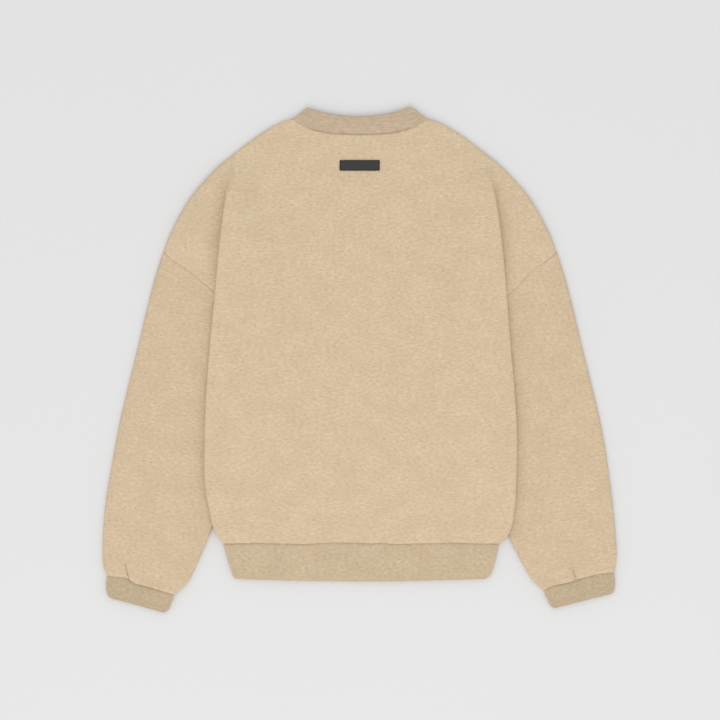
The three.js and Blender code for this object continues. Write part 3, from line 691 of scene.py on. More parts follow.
@dataclass
class LaidShape:
    """The lines and heights that the laid pieces share, in millimetres."""

    side: Side
    fold: Curve = field(init=False)
    turn: Curve = field(init=False)
    web: Curve = field(init=False)
    inner: Curve = field(init=False)
    sections: tuple[Section, ...] = field(init=False)
    shoulder: np.ndarray = field(init=False)
    shoulder_line: np.ndarray = field(init=False)
    armhole: np.ndarray = field(init=False)
    neck: Curve = field(init=False)
    shoulder_y: Curve = field(init=False)

    def __post_init__(self) -> None:
        """Works out the shared lines from the tables."""
        column = "left" if self.side is Side.LEFT else "right"
        self.sections = SLEEVE_UPPER + SLEEVE_LOWER[self.side]
        self.fold = Curve.of(SIDE_FOLD_ROWS, "y", column)
        self.turn = Curve.of(FOLD_END_ROWS, "y", "turn")
        self.web = Curve.of(FOLD_END_ROWS, "y", "web")
        self.inner = Curve.of(self.sections, "in_y", "in_x")
        self.shoulder = offset_path(relax(smooth_path(path_array(SHOULDER), 80), 8), FLEECE / 2)
        tip = int(np.argmin(np.abs(self.shoulder[:, 0] - SHOULDER_TIP[0])))
        self.shoulder_line = self.shoulder[tip:][::-1]
        end = self.shoulder[-1]
        start = np.array([UNDERARM[0] - 0.1, UNDERARM[1] + 0.15])
        line = [mix(start, end, float(t)) for t in np.linspace(0.08, 1, 30)]
        hung = [(p[0], p[1] - float(self.armhole_sag(p[0]))) for p in line]
        self.armhole = np.array([(UNDERARM[0] + FLEECE / 2 + VALLEY_FOLD, UNDERARM_ROW_Y), *hung])
        self.neck = Curve.of(NECK_SEAM, "x", "y")
        line = self.shoulder[np.argsort(self.shoulder[:, 0])]
        self.shoulder_y = Curve(tuple(line[:, 0]), tuple(line[:, 1]))

    def armhole_sag(self, x: Number) -> np.ndarray:
        """How far the armhole seam hangs below a straight line at a distance from the middle."""
        outer = float(self.shoulder[-1][0])
        return table_curve(ARMHOLE_SAG[self.side])((outer - np.asarray(x)) / (outer - UNDERARM[0]))

    def valley(self, y: Number) -> np.ndarray:
        """Valley of the pleat above the underarm."""
        top = float(self.fold(FOLD_TOP_Y)) - FLEECE - self.fold_reach(FOLD_TOP_Y) - VALLEY_FOLD
        top -= FOLD_END_ROWS[0].web + self.tuck(FOLD_TOP_Y)
        return mix(UNDERARM[0], top, (np.asarray(y, float) - UNDERARM[1]) / (FOLD_TOP_Y - UNDERARM[1]))

    def front_side(self, y: Number) -> np.ndarray:
        """Side edge of the front panel."""
        return np.minimum(self.inner(y) - SLEEVE_CLEAR, self.fold(y) - 10)

    def middle_height(self, y: Number) -> np.ndarray:
        """Height of the middle layer at the side fold."""
        return mix(LAP_Z, MIDDLE_Z, ramp(y, *HEM_RISE))

    def fold_radius(self, y: Number) -> np.ndarray:
        """Radius of the side fold: tight at the hem, a looser roll below the shoulder."""
        loose = SIDE_FOLD + LOOSE_FOLD[self.side] * ramp(y, *LOOSE_SPAN)
        return mix(HEM_FOLD, loose, ramp(y, *HEM_RISE)) * (1 - ramp(y, FOLD_CLOSE_Y, SHOULDER_TIP[1]))

    def open_radius(self, y: float) -> float:
        """Radius of the side fold where it has not begun to open."""
        return float(self.fold_radius(min(y, FOLD_CLOSE_Y)))

    def fold_reach(self, y: float) -> float:
        """How far the unopened roll reaches sideways: below the shoulder it is taller than wide."""
        loose = self.open_radius(y)
        return float(mix(min(loose, TIGHT_REACH), loose, ramp(y, *REACH_SPAN)))

    def tuck(self, y: float) -> float:
        """How far the foot of the roll lies inside its top."""
        return float(TUCK[self.side] * window(y, *TUCK_SPANS))

    def fold_turn(self, y: float) -> float:
        """Angle that the side fold turns through, in radians."""
        return math.pi if y < FOLD_TOP_Y else math.radians(float(self.turn(y)))

    def valley_radius(self, y: Number) -> np.ndarray:
        """Radius of the valley fold."""
        return VALLEY_FOLD * (1 - ramp(y, FOLD_CLOSE_Y, SHOULDER_TIP[1]))

    def side_height(self, y: np.ndarray) -> np.ndarray:
        """Height of the upper layer where the side fold begins."""
        y = np.atleast_1d(np.asarray(y, float))
        low = self.middle_height(y) + 2 * self.fold_radius(y)
        bends = self.fold_radius(y) + self.valley_radius(y)
        turn = np.radians(self.turn(y))
        high = LOWER_Z + bends * (1 - np.cos(turn)) + self.web(y) * np.sin(turn)
        return np.where(y < FOLD_TOP_Y, low, high)

    def upper_height(self, x: np.ndarray, y: np.ndarray) -> np.ndarray:
        """Height of the upper layer of the back; x is measured outwards from the middle."""
        fold_y = np.minimum(y, SHOULDER_TIP[1])
        centre = mix(BODY_Z, SHOULDER_Z, ramp(y, *SINK_SPAN)) + BULGE * window(y, *BULGE_SPANS)
        capped = np.minimum(fold_y, FOLD_TOP_Y)
        step = np.where(fold_y > UNDERARM[1], self.valley(capped), self.inner(np.maximum(fold_y, -330)))
        step = np.minimum(step, self.fold(fold_y) - 4) + 4
        share = ramp(np.abs(x), step - SLOPE_WIDTH, step)
        return mix(centre, self.side_height(fold_y), share)

    def drop(self, x: np.ndarray, y: np.ndarray, z: np.ndarray) -> np.ndarray:
        """Rounds the cloth down to the shoulder outline."""
        d = np.minimum(distance_to(self.shoulder, np.abs(x), y), EDGE_ROUND)
        u = 1 - d / EDGE_ROUND
        low = mix(FRONT_Z, z, np.sqrt(np.maximum(1 - u * u, 0)))
        return mix(z, low, ramp(np.abs(x), NECK_HALF + 1, NECK_HALF + 20))


def set_values(node: Node, values: Values) -> None:
    """Sets constant values of a node's sockets by name."""
    for label, value in values.items():
        node.inputs[label].default_value = value


def add_node(tree: Tree, kind: str, values: Values, **options: object) -> Node:
    """Adds a shader node.

    Args:
        tree: where it goes.
        kind: its type, without the common first part.
        values: constant values of its sockets, by name.
        options: its own settings, made before the values.

    Returns:
        The node.
    """
    node = tree.nodes.new("ShaderNode" + kind)
    for label, option in options.items():
        setattr(node, label, option)
    set_values(node, values)
    return node


def wire(tree: Tree, *links: tuple[Node, str, Node, str]) -> None:
    """Links sockets by name; each link is a node, its output, a node and its input."""
    for source, output, target, entry in links:
        tree.links.new(source.outputs[output], target.inputs[entry])


def principled(name: str, values: Values) -> tuple[Material, Node]:
    """Material with constant values on its main shader.

    Args:
        name: name of the material.
        values: the shader's values, by socket name.

    Returns:
        The material and its shader.
    """
    mat = bpy.data.materials.new(name)
    mat.use_nodes = True
    shader = mat.node_tree.nodes["Principled BSDF"]
    set_values(shader, values)
    return mat, shader


@dataclass(frozen=True)
class KnitFinish:
    """Heather knit: a mix of pale and darker fibres over a ground, with a soft nap."""

    name: str
    ground: tuple[float, float, float]
    pale: tuple[float, float, float]
    dark: tuple[float, float, float]
    contrast: float = 0.77
    relief: float = 0.3
    relief_depth: float = 0.0004
    sheen: float = 0.12
    sheen_tint: tuple[float, float, float] = (1.0, 0.93, 0.82)
    roughness: float = 0.92
    specular: float = 0.2

    def build(self, group: Tree) -> Material:
        """Makes the material round the shared heather group.

        Args:
            group: the shared node group of the heather knit.

        Returns:
            The material.
        """
        shine = {
            "Roughness": self.roughness,
            "Specular IOR Level": self.specular,
            "Sheen Weight": self.sheen,
            "Sheen Roughness": 0.5,
            "Sheen Tint": (*self.sheen_tint, 1.0),
        }
        colors = {
            "Ground": (*self.ground, 1.0),
            "Pale": (*self.pale, 1.0),
            "Dark": (*self.dark, 1.0),
            "Contrast": self.contrast,
        }
        mat, shader = principled(self.name, shine)
        tree = mat.node_tree
        uv = add_node(tree, "UVMap", {}, uv_map="knit")
        knit = add_node(tree, "Group", colors, node_tree=group)
        bump = add_node(tree, "Bump", {"Strength": self.relief, "Distance": self.relief_depth})
        wire(
            tree,
            (uv, "UV", knit, "Place"),
            (knit, "Color", shader, "Base Color"),
            (knit, "Height", bump, "Height"),
            (bump, "Normal", shader, "Normal"),
        )
        return mat


@dataclass(frozen=True)
class RubberFinish:
    """Matt moulded rubber with a fine grain."""

    name: str
    color: tuple[float, float, float]
    roughness: float = 0.55
    grain_scale: float = 1800.0
    lightest: float = 1.5

    def build(self) -> Material:
        """Makes the material."""
        mat, shader = principled(self.name, {"Specular IOR Level": 0.35})
        tree = mat.node_tree
        light = tuple(min(1.0, c * self.lightest) for c in self.color)
        place = add_node(tree, "TexCoord", {})
        grain = add_node(tree, "TexNoise", {"Scale": self.grain_scale, "Detail": 3.0})
        tone = add_node(tree, "Mix", {"A": (*self.color, 1.0), "B": (*light, 1.0)}, data_type="RGBA")
        spread = {"To Min": self.roughness - 0.08, "To Max": self.roughness + 0.1}
        rough = add_node(tree, "MapRange", spread)
        bump = add_node(tree, "Bump", {"Strength": 0.25, "Distance": 0.0001})
        wire(
            tree,
            (place, "Object", grain, "Vector"),
            (grain, "Fac", tone, "Factor"),
            (tone, "Result", shader, "Base Color"),
            (grain, "Fac", rough, "Value"),
            (rough, "Result", shader, "Roughness"),
            (grain, "Fac", bump, "Height"),
            (bump, "Normal", shader, "Normal"),
        )
        return mat


class HeatherLayer(NamedTuple):
    """One layer of the heather: noise to the metre both ways, and how much of a tint it adds."""

    along: float
    across: float
    detail: float
    turn: float
    tint: str
    low: float
    high: float
    most: float


@dataclass(frozen=True)
class HeatherGroup:
    """The shared effect of heathered knit: streaks of fibre, stitches and slow unevenness."""

    streaks: HeatherLayer = HeatherLayer(150.0, 290.0, 4.0, 0.03, "Pale", 0.42, 0.72, 0.75)
    fibres: HeatherLayer = HeatherLayer(180.0, 330.0, 2.0, -0.05, "Dark", 0.44, 0.74, 0.7)
    clouds: HeatherLayer = HeatherLayer(26.0, 34.0, 2.0, 0.0, "Dark", 0.32, 0.68, 0.26)
    wale: float = 1.3
    course: float = 0.95
    stitch_lean: float = 0.35 * math.pi
    stitch_height: float = 0.35
    nap_height: float = 1.6

    def build(self) -> Tree:
        """Makes the node group.

        Returns:
            A group from a place on the knit, in metres, to a colour and a height.
        """
        group = bpy.data.node_groups.new("heather_knit", "ShaderNodeTree")
        face = group.interface
        face.new_socket("Place", in_out="INPUT", socket_type="NodeSocketVector")
        for label in ("Ground", "Pale", "Dark"):
            face.new_socket(label, in_out="INPUT", socket_type="NodeSocketColor")
        face.new_socket("Contrast", in_out="INPUT", socket_type="NodeSocketFloat")
        face.new_socket("Color", in_out="OUTPUT", socket_type="NodeSocketColor")
        face.new_socket("Height", in_out="OUTPUT", socket_type="NodeSocketFloat")
        given = group.nodes.new("NodeGroupInput")
        result = group.nodes.new("NodeGroupOutput")
        link = group.links.new

        def noise(layer: HeatherLayer) -> Socket:
            """Noise of a layer over the knit."""
            scale = {"Scale": (layer.along, layer.across, 1.0), "Rotation": (0.0, 0.0, layer.turn)}
            mapping = add_node(group, "Mapping", scale)
            tex = add_node(group, "TexNoise", {"Scale": 1.0, "Detail": layer.detail, "Roughness": 0.6})
            wire(group, (given, "Place", mapping, "Vector"), (mapping, "Vector", tex, "Vector"))
            return tex.outputs["Fac"]

        def sum_of(kind: str, a: Socket, b: Socket | float = 1.0) -> Socket:
            """Arithmetic on one or two values."""
            node = add_node(group, "Math", {}, operation=kind)
            link(a, node.inputs[0])
            if isinstance(b, Socket):
                link(b, node.inputs[1])
            else:
                node.inputs[1].default_value = b
            return node.outputs[0]

        def tinted(color: Socket, source: Socket, layer: HeatherLayer) -> Socket:
            """Colour after a layer's tint, where its noise is strong."""
            band = {"From Min": layer.low, "From Max": layer.high}
            spread = add_node(group, "MapRange", band, interpolation_type="SMOOTHSTEP")
            link(source, spread.inputs["Value"])
            most = sum_of("MULTIPLY", spread.outputs["Result"], layer.most)
            blend = add_node(group, "Mix", {}, data_type="RGBA")
            link(sum_of("MULTIPLY", most, given.outputs["Contrast"]), blend.inputs["Factor"])
            link(color, blend.inputs["A"])
            link(given.outputs[layer.tint], blend.inputs["B"])
            return blend.outputs["Result"]

        fibre_noise = noise(self.fibres)
        color = tinted(given.outputs["Ground"], noise(self.streaks), self.streaks)
        color = tinted(color, fibre_noise, self.fibres)
        link(tinted(color, noise(self.clouds), self.clouds), result.inputs["Color"])

        parts = add_node(group, "SeparateXYZ", {})
        link(given.outputs["Place"], parts.inputs[0])
        across = sum_of("MULTIPLY", parts.outputs["X"], 2 * math.pi / (self.wale * MM))
        lean = sum_of("MULTIPLY", sum_of("SINE", across), self.stitch_lean)
        up = sum_of("ADD", sum_of("MULTIPLY", parts.outputs["Y"], 2 * math.pi / (self.course * MM)), lean)
        stitch = sum_of("ADD", sum_of("SINE", up), sum_of("MULTIPLY", sum_of("COSINE", across), 0.5))
        low = sum_of("MULTIPLY", stitch, self.stitch_height)
        link(sum_of("ADD", low, sum_of("MULTIPLY", fibre_noise, self.nap_height)), result.inputs["Height"])
        return group


def tube_ring(
    section: Section, sign: int, wall: float, low: float, high: float, shares: np.ndarray
) -> tuple[np.ndarray, np.ndarray]:
    """One ring of a flattened tube between an outer and an inner edge point.

    Args:
        section: the edge points, measured outwards from the middle.
        sign: -1 for the left of the garment, 1 for the right.
        wall: thickness of the cloth.
        low: height of the middle of the lower layer.
        high: height of the middle of the upper layer.
        shares: places round the ring, 0 to 1, from the outer edge over the top.

    Returns:
        The ring's points, and for each its share across the upper layer or -1 off it.
    """
    out = np.array([sign * section.out_x, section.out_y])
    inner = np.array([sign * section.in_x, section.in_y])
    length = float(np.linalg.norm(inner - out))
    way = (inner - out) / length
    radius = (high - low) / 2
    inset = radius + wall / 2
    span = length - 2 * inset
    arc = math.pi * radius
    s = shares * 2 * (span + arc)
    d = np.empty_like(s)
    z = np.empty_like(s)
    top = s < span
    turn_in = (s >= span) & (s < span + arc)
    under = (s >= span + arc) & (s < 2 * span + arc)
    turn_out = s >= 2 * span + arc
    d[top], z[top] = inset + s[top], high
    a = (s[turn_in] - span) / radius
    d[turn_in], z[turn_in] = inset + span + radius * np.sin(a), low + radius + radius * np.cos(a)
    d[under], z[under] = inset + span - (s[under] - span - arc), low
    b = (s[turn_out] - 2 * span - arc) / radius
    d[turn_out], z[turn_out] = inset - radius * np.sin(b), low + radius - radius * np.cos(b)
    across = np.where(top, np.clip(s / span, 0, 1), -1.0)
    points = np.column_stack([out[0] + way[0] * d, out[1] + way[1] * d, z])
    return points, across


def columns_at(rows: Sequence[NamedTuple], stations: Number) -> list[np.ndarray]:
    """Every column of a table between its rows.

    Args:
        rows: the table.
        stations: places along it, 0 at the first row and 1 more for each further row.

    Returns:
        For each column its values at the stations.
    """
    keys = tuple(float(k) for k in range(len(rows)))
    return [Curve(keys, tuple(float(v) for v in column))(stations) for column in zip(*rows)]


def sections_at(rows: Sequence[Section], stations: np.ndarray) -> list[Section]:
    """Sections between the rows of a table."""
    return [Section(*(float(v) for v in values)) for values in zip(*columns_at(rows, stations))]


@dataclass(frozen=True)
class Cut:
    """A piece of cloth: its name, the solid that it takes the place of, and its cut in metres."""

    name: str
    node: str
    slot: str
    flat: tuple[float, float]
    area: float
    rests_on: tuple[str, ...] = ()

    def finish(
        self, sheet: Sheet, outer: np.ndarray, inner: np.ndarray, roll: float, material: Material
    ) -> Piece:
        """Gives a piece its wall and its finish, hides the solid that it takes the place of, and hangs it
        under the root.

        Args:
            sheet: its middle surface.
            outer: distance of the outer face from the middle at each point.
            inner: distance of the inner face.
            roll: how far its rim stands out past the edge.
            material: its finish.

        Returns:
            The finished piece.
        """
        obj = sheet.thicken(outer, inner, roll).to_object(self.name, material)
        LOG.info("%s: %d points, area %.4f", self.name, len(sheet.points), sheet.area())
        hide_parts(self.node)
        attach(obj, "root")
        return obj

    def fleece(self, sheet: Sheet, roll: float, material: Material) -> Piece:
        """Finishes a piece of fleece, with an even wall."""
        half = np.full(len(sheet.points), FLEECE / 2)
        return self.finish(sheet, half, half, roll, material)

    def rib(self, sheet: Sheet, count: int, material: Material) -> Piece:
        """Finishes a band of that many points round, with its ribs raised on the outer face."""
        place = np.round(sheet.flat[:, 0] / RIB_PITCH * RIB_STEPS).astype(int)
        wave = np.sqrt(0.5 + 0.5 * np.cos(np.mod(place, count) * 2 * math.pi / RIB_STEPS))
        outer = RIB / 2 - RIB_DEPTH + RIB_DEPTH * wave
        inner = np.full(len(sheet.points), RIB / 2)
        return self.finish(sheet, outer, inner, RIB_ROLL, material)


@dataclass
class BackPanel:
    """The back: upper layer, side folds, the pleats under them and the shoulders beside them."""

    flat: tuple[float, float] = (0.79, 0.65)
    area: float = 0.38
    fold_steps: int = 8
    web_steps: int = 14
    lower_steps: int = 39
    neck_columns: int = 38
    shoulder_columns: int = 34
    neck_share: float = 0.985
    side_groove: float = 0.35
    middle_groove: float = 2.1
    label_clear: tuple[float, float] = (32.0, 9.5)
    edge_roll: float = 0.25

    def rows(self) -> np.ndarray:
        """Heights of the rows at the side fold, closer together where the cloth turns."""
        return np.unique(
            np.concatenate(
                [
                    [-277.95, -277.5, -276.8, -275.9, -274.8, -273.4],
                    np.arange(-271.5, 18, 3.4),
                    [20, 29, 38, 44, 48, UNDERARM_ROW_Y],
                    np.arange(57.5, 180, 3.6),
                    [180.6, 182, 183, 183.6, ARMHOLE_END_Y],
                    np.arange(187, 244, 3.4),
                    np.arange(245, 300, 1.7),
                    np.arange(301, 305, 2),
                    [306, 307.2, 308.2, 309.2, 310, 310.7, 311.2, 311.5, 311.7],
                ]
            )
        )

    def half(self, side: Side) -> tuple[np.ndarray, np.ndarray]:
        """Grid of one half of the back.

        Args:
            side: which half.

        Returns:
            Points and places on the knit, by row and column.
        """
        shape = LaidShape(side)
        sign = side.value
        neck_end = self.neck_share * NECK_HALF
        turn_share = neck_end / SHOULDER_TIP[0]
        neck = np.linspace(0, turn_share, self.neck_columns)
        shares = np.concatenate([neck, np.linspace(turn_share, 1, self.shoulder_columns)[1:]])
        top_x = shares * SHOULDER_TIP[0]
        top_y = np.where(top_x <= neck_end + 1e-6, shape.neck(top_x) - 0.1, shape.shoulder_y(top_x))
        first = self.rows()[0]
        seam_wander = Curve.of(HEM_SEAM_WANDER, "x", "y")
        steps = self.fold_steps
        blank = np.full(steps + self.lower_steps + len(EDGE_STEPS), np.nan)
        rows, flats = [], []
        for y_fold in self.rows():
            share = (y_fold - first) / (SHOULDER_TIP[1] - first)
            closing = 1 - float(ramp(y_fold, 290, SHOULDER_TIP[1]))
            reach = shape.fold_reach(y_fold)
            start_x = float(shape.fold(y_fold)) - (FLEECE / 2 + reach) * closing
            x = shares * start_x
            y = mix(first, top_y, share)
            z = shape.drop(x, y, shape.upper_height(x, y) + self.relief(shape, x, y, y_fold))
            y = y + seam_wander(sign * x) * bell(y - HEM_SEAM_Y, 9)
            edge_y = float(y[-1])
            base_z = float(z[-1])
            if y_fold <= 300:
                base_z = float(shape.upper_height(np.array([start_x]), np.array([y_fold]))[0])
            turn = shape.fold_turn(y_fold)
            radius = float(shape.fold_radius(y_fold))
            a = turn * np.arange(1, steps + 1) / steps
            fx = start_x + radius * reach / shape.open_radius(y_fold) * np.sin(a)
            fx = fx - shape.tuck(y_fold) * ramp(a, math.pi / 2, math.pi)
            fz = base_z - radius * (1 - np.cos(a))
            px = [x, fx]
            py = [y, np.full(steps, edge_y)]
            pz = [z, fz]
            if y_fold < UNDERARM_ROW_Y:
                side_x = float(shape.front_side(y_fold))
                mx = mix(fx[-1], side_x - LAP, np.linspace(0, 1, self.web_steps + 1)[1:])
                rise = ramp(mx, side_x - 9, side_x - 1)
                px += [mx, blank]
                py += [np.full(len(mx), edge_y), blank]
                pz += [mix(LAP_Z, float(shape.middle_height(y_fold)), rise), blank]
            else:
                wx, wz = self.web(shape, y_fold, fx[-1], fz[-1])
                lx, ly = self.lower(shape, y_fold, wx[-1], edge_y)
                relief = self.lower_relief(shape, lx, ly)
                px += [wx, lx]
                py += [np.full(len(wx), edge_y), ly]
                pz += [wz, wz[-1] + relief * ramp(np.arange(len(lx)), 0, 5)]
            px, py, pz = (np.concatenate(p) for p in (px, py, pz))
            late = np.arange(len(px)) >= len(shares)
            pz[late] = np.fmin(pz[late], shape.drop(px[late], py[late], pz[late]))
            rows.append(np.column_stack([sign * px, py, pz]))
            flats.append(np.column_stack([sign * (px - KNIT_DROP * (pz - BODY_Z)), py]))
        return np.array(rows), np.array(flats)

    def web(self, shape: LaidShape, y_fold: float, x: float, z: float) -> tuple[np.ndarray, np.ndarray]:
        """Middle layer of the pleat and the valley at its end.

        Args:
            shape: the shared lines.
            y_fold: height of the row at the side fold.
            x: where the side fold ends.
            z: its height there.

        Returns:
            Places across and heights.
        """
        turn, radius = shape.fold_turn(y_fold), float(shape.valley_radius(y_fold))
        length = float(shape.web(y_fold))
        if y_fold < FOLD_TOP_Y:
            length = x - float(shape.valley(y_fold)) - FLEECE / 2 - VALLEY_FOLD
        along = length * np.linspace(0, 1, self.web_steps + 1)[1:]
        mx = x + along * math.cos(turn)
        mz = z - along * math.sin(turn)
        b = turn * np.arange(self.fold_steps - 1, -1, -1) / self.fold_steps
        vx = mx[-1] + radius * (math.sin(turn) - np.sin(b))
        vz = mz[-1] - radius * (np.cos(b) - math.cos(turn))
        return np.concatenate([mx, vx]), np.concatenate([mz, vz])

    def lower(self, shape: LaidShape, y_fold: float, x: float, y: float) -> tuple[np.ndarray, np.ndarray]:
        """Lower layer, from the valley out to the armhole seam or the shoulder.

        Args:
            shape: the shared lines.
            y_fold: height of the row at the side fold.
            x: where the valley ends.
            y: height of the row there.

        Returns:
            Places across and up, closer together at the edge.
        """
        path, low, high = shape.armhole, UNDERARM_ROW_Y, ARMHOLE_END_Y
        if y_fold > ARMHOLE_END_Y:
            path, low, high = shape.shoulder_line, ARMHOLE_END_Y, SHOULDER_TIP[1]
        edge = on_path(path, (y_fold - low) / (high - low))
        length = math.hypot(edge[0] - x, edge[1] - y)
        near = np.minimum(EDGE_STEPS, EDGE_STEPS / EDGE_ROUND * 0.2 * length)
        late = 1 - near / max(length, 1e-6)
        early = np.linspace(0, 0.9, self.lower_steps + 1)[1:] * (late[0] / 0.92)
        steps = np.concatenate([early, late])
        return mix(x, edge[0], steps), mix(y, edge[1], steps)

    def relief(self, shape: LaidShape, x: np.ndarray, y: np.ndarray, y_fold: float) -> np.ndarray:
        """Creases, waves and seam draws of the upper layer."""
        sx = shape.side.value * x
        z = crease_relief(BODY_CREASES, sx, y) + 0.8 * ripple(sx, y, 0.4)
        fade = 1 - ramp(x, shape.fold(y_fold) - 16, shape.fold(y_fold) - 4)
        half_x, half_y = self.label_clear
        beside = ramp(np.abs(sx + 0.5), half_x, half_x + 8)
        above = ramp(np.abs(y - 295), half_y, half_y + 6.5)
        z = z * fade * (1 - (1 - beside) * (1 - above))
        hem = y - HEM_SEAM_Y
        lap = float(shape.front_side(y_fold)) - LAP
        groove = self.middle_groove * (1 - ramp(x, lap - 22, lap - 6)) + self.side_groove
        z = z - groove * bell(hem, 0.85) + pucker(sx, hem, 0.7)
        z = z + line_relief(HEM_BEAD, hem) * fade
        d = distance_to(path_array(NECK_SEAM), x, y)
        return z + line_relief(NECK_LINES, d) + pucker(sx, d, 2.1)

    def lower_relief(self, shape: LaidShape, x: np.ndarray, y: np.ndarray) -> np.ndarray:
        """Waves of the shoulder beside the fold, and the draw of the armhole seam."""
        d = distance_to(shape.armhole, x, y)
        gap = x - shape.fold(np.clip(y, HEM_SEAM_Y, 300))
        puff = SHOULDER_PUFF[shape.side]
        free = ramp(gap, puff.near, puff.far) * (1 - ramp(y, 296, 311)) * ramp(d, 0, 34)
        dip = -FOLD_DIP * bell(np.maximum(gap - 1, 0), 9) * window(y, *DIP_SPANS) * (1 - 0.8 * bell(d, 6))
        swell = (puff.height + 0.7 * ripple(shape.side.value * x, y, 1.9)) * free
        return dip + swell + line_relief(ARMHOLE_LINES, d) * ramp(gap, -6, 2) + pucker(x - y, d, 3.0)

    def build(self, material: Material) -> Piece:
        grids = []
        for side in Side:
            points, flat = self.half(side)
            grids.append((points, flat, False, side is Side.LEFT))
        cut = Cut("back_cloth", "back_panel", "body_fleece", self.flat, self.area, ("front_panel",))
        return cut.fleece(Sheet.from_grids(grids), self.edge_roll, material)


@dataclass
class FrontPanel:
    """The front: it lies flat under the back, with the lower neckline."""

    flat: tuple[float, float] = (0.6, 0.64)
    area: float = 0.25
    step: float = 18.0
    neck_low: float = 281.0
    shoulder_gap: float = 4.6
    edge_roll: float = 0.25

    def outline(self) -> list[tuple[float, float]]:
        """Outline of the panel, anticlockwise from the hem on the right."""
        halves = {}
        corner = offset_path(smooth_path(path_array(SHOULDER), 60), self.shoulder_gap)[3:-1]
        for side in Side:
            shape = LaidShape(side)
            half = [(float(shape.front_side(y)), float(y)) for y in np.linspace(-277.9, 44, 60)]
            half += [(136.0, 48.0), (138.83, 50.25), (296.0, 161.7)]
            half += [(float(p[0]), float(p[1])) for p in corner[::-1]]
            for u in np.linspace(0.93, 0, 24):
                clear = 0.15 * math.hypot(1, 2.06 * u**1.5)
                y = mix(self.neck_low, NECK_CORNER_Y, u**FRONT_NECK_POWER) - clear
                half.append((float(u * NECK_HALF), float(y)))
            halves[side] = half
        left = [(-x, y) for x, y in reversed(halves[Side.LEFT][:-1])]
        return halves[Side.RIGHT] + left

    def build(self, material: Material) -> Piece:
        bm = bmesh.new()
        ring = [bm.verts.new((x * MM, y * MM, 0.0)) for x, y in self.outline()]
        bm.faces.new(ring)
        for axis, low, high in ((0, -300, 300), (1, -270, 360)):
            for value in np.arange(low, high, self.step):
                spot = [0.0, 0.0, 0.0]
                way = [0.0, 0.0, 0.0]
                spot[axis] = float(value) * MM
                way[axis] = 1.0
                everything = bm.verts[:] + bm.edges[:] + bm.faces[:]
                bmesh.ops.bisect_plane(bm, geom=everything, plane_co=spot, plane_no=way, dist=1e-6)
        bmesh.ops.triangulate(bm, faces=[f for f in bm.faces if len(f.verts) > 4])
        bm.verts.index_update()
        points = np.array([v.co[:] for v in bm.verts]) / MM
        faces = [tuple(v.index for v in f.verts) for f in bm.faces]
        if sum(f.normal.z for f in bm.faces) < 0:
            faces = [f[::-1] for f in faces]
        bm.free()
        points[:, 2] = FRONT_Z
        sheet = Sheet(points, points[:, :2].copy(), faces)
        cut = Cut("front_cloth", "front_panel", "body_fleece", self.flat, self.area)
        return cut.fleece(sheet, self.edge_roll, material)


